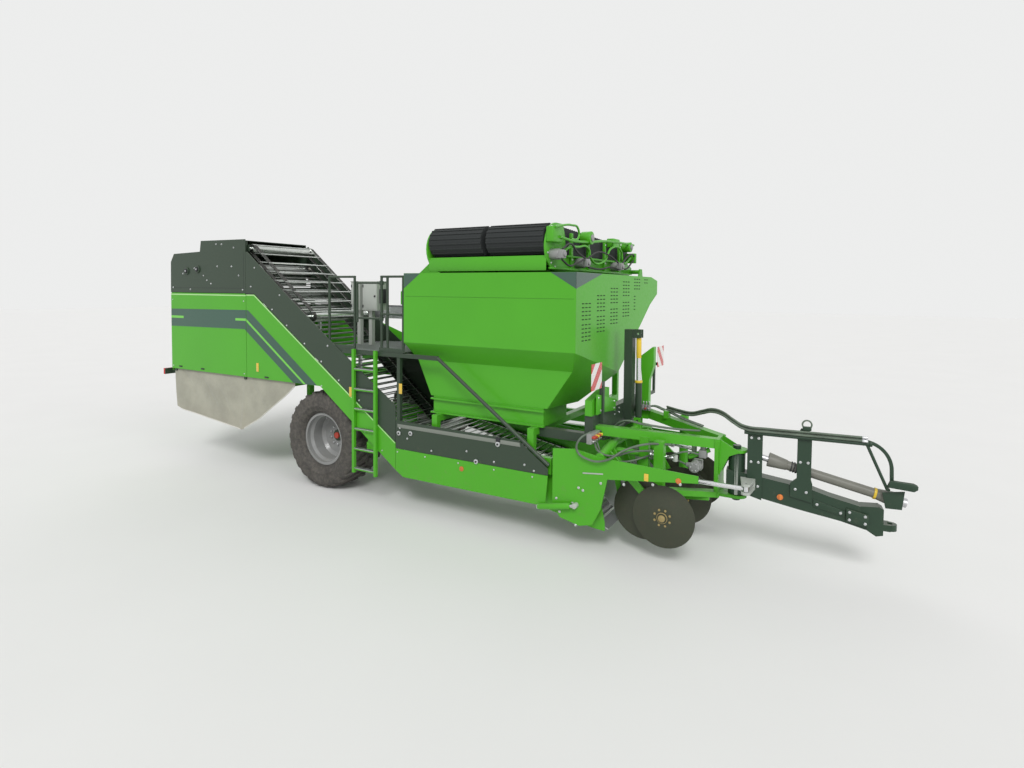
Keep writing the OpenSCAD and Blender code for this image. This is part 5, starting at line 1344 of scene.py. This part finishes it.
def make_rear_trim():
    """Folded edges, seams and bolts on the rear housing and the left wall."""
    low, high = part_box("rear_housing")
    back, left, right = low.x - axle_x, high.y, low.y
    out, top = Vector((-1, 0, 0)), 2.43
    # The folds are darker green strips: painted shade along the folded edges.
    folds = []
    for z in (1.46, 1.93):
        folds.append(block(at(back - 0.004, right + 0.04, z - 0.004),
                           at(back + 0.001, left - 0.04, z + 0.004), 0.002))
    for y in (-0.45, 0.52):
        folds.append(block(at(back - 0.004, y - 0.004, 1.46), at(back + 0.001, y + 0.004, top - 0.06), 0.002))
    dressed(join(folds), "rear_folds", "chassis", "seam_green")
    spots = [(at(back, y, z), out) for z in (1.42, 1.97)
             for y in (-1.35, -0.90, -0.51, -0.39, 0.05, 0.46, 0.58, 1.0, 1.42)]
    spots += [(at(x, left, z), Vector((0, 1, 0))) for x in (-3.38, -3.0, -2.6) for z in (1.45, 1.90)]
    bolts("rear_bolts", "chassis", 0.010, spots)


def make_rear_lamps():
    """Lamp lenses with one amber and two red fields."""
    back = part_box("rear_lamps")[0].x - axle_x
    lenses = []
    for first in (-1.45, 1.15):
        for k, tint in enumerate(("amber_lens", "red_lens", "red_lens")):
            y = first + 0.010 + k * 0.094
            lenses.append(painted(block(at(back - 0.006, y, 1.342), at(back + 0.004, y + 0.086, 1.418),
                                        0.004), tint))
    dressed(join(lenses), "rear_lenses", "chassis")


# ---------- Stage ----------


def make_camera():
    """Camera before the right-hand side, near the front."""
    azimuth, pitch, roll = (math.radians(value) for value in (30.17, 2.44, 0.47))
    ahead = Vector((-math.sin(azimuth) * math.cos(pitch), math.cos(azimuth) * math.cos(pitch),
                    -math.sin(pitch)))
    right = ahead.cross(UP).normalized()
    above = right.cross(ahead)
    right, above = (right * math.cos(roll) + above * math.sin(roll),
                    above * math.cos(roll) - right * math.sin(roll))
    camera = bpy.data.cameras.new("Camera")
    camera.sensor_width = 36
    camera.lens = 21.094
    camera.shift_y = -0.0674
    camera.clip_end = 200
    seen_from = bpy.data.objects.new("Camera", camera)
    bpy.context.scene.collection.objects.link(seen_from)
    turn = Matrix((right, above, -ahead)).transposed().to_4x4()
    turn.translation = Vector((4.838, -7.238, 2.81))
    seen_from.matrix_world = turn
    bpy.context.scene.camera = seen_from


def make_stage(look):
    scene = bpy.context.scene
    scene.view_settings.view_transform = "Standard"
    make_camera()
    deselect()
    bpy.ops.mesh.primitive_plane_add(size=160, location=(0, 0, 0))
    floor = settle(bpy.context.object)
    floor.name = "studio_floor"
    floor.location.z = -0.002
    settle(floor)
    ground = Finish("studio_floor", 0.85, specular=0.15)
    tone = ground.mix(ground.noise(0.7, 4), shade(look.floor, 0.98), shade(look.floor, 1.02))
    ground.finish(tone, None, ground.noise(90, 3), 0.0005, 0.1)
    painted(floor, "studio_floor")
    world = bpy.data.worlds.new("Studio")
    scene.world = world
    world.use_nodes = True
    tree = world.node_tree
    sky = tree.nodes["Background"]
    sky.inputs["Color"].default_value = (1, 1, 1, 1)
    sky.inputs["Strength"].default_value = 0.55
    backdrop = tree.nodes.new("ShaderNodeBackground")
    backdrop.inputs["Color"].default_value = (0.845, 0.85, 0.845, 1)
    backdrop.inputs["Strength"].default_value = 1.0
    rays = tree.nodes.new("ShaderNodeLightPath")
    either = rays.outputs["Is Camera Ray"]
    for kind in ("Is Glossy Ray", "Is Transmission Ray"):
        larger = tree.nodes.new("ShaderNodeMath")
        larger.operation = "MAXIMUM"
        tree.links.new(either, larger.inputs[0])
        tree.links.new(rays.outputs[kind], larger.inputs[1])
        either = larger.outputs[0]
    choose = tree.nodes.new("ShaderNodeMixShader")
    tree.links.new(either, choose.inputs[0])
    tree.links.new(sky.outputs[0], choose.inputs[1])
    tree.links.new(backdrop.outputs[0], choose.inputs[2])
    tree.links.new(choose.outputs[0], tree.nodes["World Output"].inputs["Surface"])
    for name, strength, angle, place in (
        ("Key sun", 1.55, 20, (5, -11, 11)),
        ("Front sun", 0.55, 40, (13, -3, 6)),
        ("Rear sun", 0.45, 50, (-8, 9, 9)),
    ):
        lamp = bpy.data.lights.new(name, "SUN")
        lamp.energy = strength
        lamp.angle = math.radians(angle)
        holder = bpy.data.objects.new(name, lamp)
        scene.collection.objects.link(holder)
        holder.rotation_euler = Vector(place).to_track_quat("Z", "Y").to_euler()


# ---------- Add-on ----------


class HarvesterLook(bpy.types.PropertyGroup):
    """Colours and sizes that the whole dressing shares."""

    green: bpy.props.FloatVectorProperty(
        name="Body green", description="Colour of the bright panels", subtype="COLOR", min=0, max=1,
        default=(0.074, 0.385, 0.015))
    dark: bpy.props.FloatVectorProperty(
        name="Frame green", description="Colour of the dark panels and rails", subtype="COLOR", min=0, max=1,
        default=(0.034, 0.056, 0.035))
    drawbar: bpy.props.FloatVectorProperty(
        name="Drawbar green", description="Colour of the drawbar and hubs", subtype="COLOR", min=0, max=1,
        default=(0.022, 0.050, 0.028))
    grey: bpy.props.FloatVectorProperty(
        name="Cabinet grey", description="Colour of the cabinets and small castings", subtype="COLOR",
        min=0, max=1, default=(0.44, 0.47, 0.43))
    stripe: bpy.props.FloatVectorProperty(
        name="Stripe", description="Colour of the broad band along the side", subtype="COLOR", min=0, max=1,
        default=(0.036, 0.100, 0.068))
    corner: bpy.props.FloatVectorProperty(
        name="Corners", description="Colour of the bunker's corner triangles", subtype="COLOR", min=0, max=1,
        default=(0.050, 0.105, 0.078))
    canvas: bpy.props.FloatVectorProperty(
        name="Canvas", description="Colour of the rear skirt", subtype="COLOR", min=0, max=1,
        default=(0.36, 0.355, 0.285))
    floor: bpy.props.FloatVectorProperty(
        name="Floor", description="Colour of the studio floor", subtype="COLOR", min=0, max=1,
        default=(0.80, 0.80, 0.79))
    lugs: bpy.props.IntProperty(
        name="Lugs", description="Tread lugs on each shoulder of a tyre", default=27, min=12, max=48)
    hose_radius: bpy.props.FloatProperty(
        name="Hose radius", description="Radius of the hoses to the drawbar", default=0.011, unit="LENGTH")


class HARVESTER_OT_finishes(bpy.types.Operator):
    """Make every finish and paint the frame's own pieces"""

    bl_idname = "harvester.finishes"
    bl_label = "Finishes"
    bl_options = {"REGISTER", "UNDO"}

    def execute(self, context):
        look = context.scene.harvester_look
        make_finishes(look)
        finish_nodes()
        return {"FINISHED"}


class HARVESTER_OT_stage(bpy.types.Operator):
    """Set the floor, lamps, world and camera"""

    bl_idname = "harvester.stage"
    bl_label = "Studio"
    bl_options = {"REGISTER", "UNDO"}

    def execute(self, context):
        look = context.scene.harvester_look
        make_stage(look)
        return {"FINISHED"}


class HARVESTER_OT_stripes(bpy.types.Operator):
    """Lay the dark band, its pinstripe and the edge line on the side sheets"""

    bl_idname = "harvester.stripes"
    bl_label = "Stripes"
    bl_options = {"REGISTER", "UNDO"}

    def execute(self, context):
        make_stripes()
        return {"FINISHED"}


class HARVESTER_OT_bunker_trim(bpy.types.Operator):
    """Add the corner triangles, ventilation slots and seam of the bunker"""

    bl_idname = "harvester.bunker_trim"
    bl_label = "Bunker trim"
    bl_options = {"REGISTER", "UNDO"}

    def execute(self, context):
        make_bunker_trim()
        return {"FINISHED"}


class HARVESTER_OT_panel_fittings(bpy.types.Operator):
    """Add bolts, latches, bearing caps and the light strip on the side sheets"""

    bl_idname = "harvester.panel_fittings"
    bl_label = "Panel fittings"
    bl_options = {"REGISTER", "UNDO"}

    def execute(self, context):
        make_panel_fittings()
        return {"FINISHED"}


class HARVESTER_OT_tyres(bpy.types.Operator):
    """Spin both carcasses and set their lugs, valves and nuts"""

    bl_idname = "harvester.tyres"
    bl_label = "Tyres"
    bl_options = {"REGISTER", "UNDO"}

    def execute(self, context):
        look = context.scene.harvester_look
        make_tyre(-1, look.lugs)
        make_tyre(1, look.lugs)
        return {"FINISHED"}


class HARVESTER_OT_cloth(bpy.types.Operator):
    """Hang the creased canvas under the rear"""

    bl_idname = "harvester.cloth"
    bl_label = "Canvas skirt"
    bl_options = {"REGISTER", "UNDO"}

    def execute(self, context):
        make_cloth()
        return {"FINISHED"}


class HARVESTER_OT_drawbar_hoses(bpy.types.Operator):
    """Run the hoses from the frame over to the drawbar"""

    bl_idname = "harvester.drawbar_hoses"
    bl_label = "Drawbar hoses"
    bl_options = {"REGISTER", "UNDO"}

    def execute(self, context):
        look = context.scene.harvester_look
        make_hose_bundle(look.hose_radius)
        return {"FINISHED"}


class HARVESTER_OT_discharge(bpy.types.Operator):
    """Build the belts, the open sides and the drive of the discharge conveyor"""

    bl_idname = "harvester.discharge"
    bl_label = "Discharge conveyor"
    bl_options = {"REGISTER", "UNDO"}

    def execute(self, context):
        make_discharge_belt()
        make_discharge_frame()
        make_discharge_drive()
        return {"FINISHED"}


class HARVESTER_OT_discs(bpy.types.Operator):
    """Add the caps and bolts of the cutting discs"""

    bl_idname = "harvester.discs"
    bl_label = "Disc hubs"
    bl_options = {"REGISTER", "UNDO"}

    def execute(self, context):
        make_disc_hubs()
        return {"FINISHED"}


class HARVESTER_OT_digging(bpy.types.Operator):
    """Add bolts and the small cylinder on the near digging plate"""

    bl_idname = "harvester.digging"
    bl_label = "Digging fittings"
    bl_options = {"REGISTER", "UNDO"}

    def execute(self, context):
        make_digging_fittings()
        return {"FINISHED"}


class HARVESTER_OT_reflectors(bpy.types.Operator):
    """Set the blank yellow and amber reflectors"""

    bl_idname = "harvester.reflectors"
    bl_label = "Reflectors"
    bl_options = {"REGISTER", "UNDO"}

    def execute(self, context):
        make_reflectors()
        return {"FINISHED"}


class HARVESTER_OT_yoke(bpy.types.Operator):
    """Build the motor, hoses, stays and bolts behind the drawbar's pin"""

    bl_idname = "harvester.yoke"
    bl_label = "Yoke"
    bl_options = {"REGISTER", "UNDO"}

    def execute(self, context):
        make_yoke()
        return {"FINISHED"}


class HARVESTER_OT_hydraulics(bpy.types.Operator):
    """Build the valve blocks, couplings, hoses and cover on the cross beam"""

    bl_idname = "harvester.hydraulics"
    bl_label = "Front hydraulics"
    bl_options = {"REGISTER", "UNDO"}

    def execute(self, context):
        make_front_hydraulics()
        return {"FINISHED"}


class HARVESTER_OT_lift_trim(bpy.types.Operator):
    """Add the yellow lock and collar of the lifting cylinder"""

    bl_idname = "harvester.lift_trim"
    bl_label = "Lift cylinder"
    bl_options = {"REGISTER", "UNDO"}

    def execute(self, context):
        make_lift_trim()
        return {"FINISHED"}


class HARVESTER_OT_hoop(bpy.types.Operator):
    """Build the tube, strap and hook that carry the couplings"""

    bl_idname = "harvester.hoop"
    bl_label = "Coupling hoop"
    bl_options = {"REGISTER", "UNDO"}

    def execute(self, context):
        make_hose_hoop()
        return {"FINISHED"}


class HARVESTER_OT_drawbar(bpy.types.Operator):
    """Add the plates, bolts and reflector on the drawbar"""

    bl_idname = "harvester.drawbar"
    bl_label = "Drawbar fittings"
    bl_options = {"REGISTER", "UNDO"}

    def execute(self, context):
        make_drawbar_fittings()
        return {"FINISHED"}


class HARVESTER_OT_shaft_guard(bpy.types.Operator):
    """Build the cones, bellows and ring of the power shaft guard"""

    bl_idname = "harvester.shaft_guard"
    bl_label = "Shaft guard"
    bl_options = {"REGISTER", "UNDO"}

    def execute(self, context):
        make_pto_guard()
        return {"FINISHED"}


class HARVESTER_OT_platform(bpy.types.Operator):
    """Lay the grating and toe boards, the ladder treads and the railing feet"""

    bl_idname = "harvester.platform"
    bl_label = "Platform"
    bl_options = {"REGISTER", "UNDO"}

    def execute(self, context):
        make_platform_grating()
        make_ladder_treads()
        make_railing_fittings()
        return {"FINISHED"}


class HARVESTER_OT_cabinets(bpy.types.Operator):
    """Add the doors, locks and vent of the cabinets"""

    bl_idname = "harvester.cabinets"
    bl_label = "Cabinets"
    bl_options = {"REGISTER", "UNDO"}

    def execute(self, context):
        make_cabinets()
        return {"FINISHED"}


class HARVESTER_OT_rear_lamps(bpy.types.Operator):
    """Set the lenses of the rear lamps and the trim of the rear housing"""

    bl_idname = "harvester.rear_lamps"
    bl_label = "Rear"
    bl_options = {"REGISTER", "UNDO"}

    def execute(self, context):
        make_rear_lamps()
        make_rear_trim()
        return {"FINISHED"}


OPERATORS = (
    HARVESTER_OT_finishes,
    HARVESTER_OT_stage,
    HARVESTER_OT_stripes,
    HARVESTER_OT_bunker_trim,
    HARVESTER_OT_panel_fittings,
    HARVESTER_OT_tyres,
    HARVESTER_OT_cloth,
    HARVESTER_OT_drawbar_hoses,
    HARVESTER_OT_discharge,
    HARVESTER_OT_discs,
    HARVESTER_OT_digging,
    HARVESTER_OT_reflectors,
    HARVESTER_OT_yoke,
    HARVESTER_OT_hydraulics,
    HARVESTER_OT_lift_trim,
    HARVESTER_OT_hoop,
    HARVESTER_OT_drawbar,
    HARVESTER_OT_shaft_guard,
    HARVESTER_OT_platform,
    HARVESTER_OT_cabinets,
    HARVESTER_OT_rear_lamps,
)


class HARVESTER_PT_looks(bpy.types.Panel):
    """Steps that dress the harvester, in their order"""

    bl_idname = "HARVESTER_PT_looks"
    bl_label = "Potato harvester"
    bl_space_type = "VIEW_3D"
    bl_region_type = "UI"
    bl_category = "Harvester"

    def draw(self, context):
        look = context.scene.harvester_look
        for setting in HarvesterLook.__annotations__:
            self.layout.prop(look, setting)
        for operator in OPERATORS:
            self.layout.operator(operator.bl_idname)


CLASSES = (HarvesterLook, *OPERATORS, HARVESTER_PT_looks)


def register():
    for each in CLASSES:
        bpy.utils.register_class(each)
    bpy.types.Scene.harvester_look = bpy.props.PointerProperty(type=HarvesterLook)


def unregister():
    del bpy.types.Scene.harvester_look
    for each in reversed(CLASSES):
        bpy.utils.unregister_class(each)


def main():
    register()
    for operator in OPERATORS:
        step = getattr(bpy.ops.harvester, operator.bl_idname.split(".")[1])
        step()


if __name__ == "__main__":
    main()
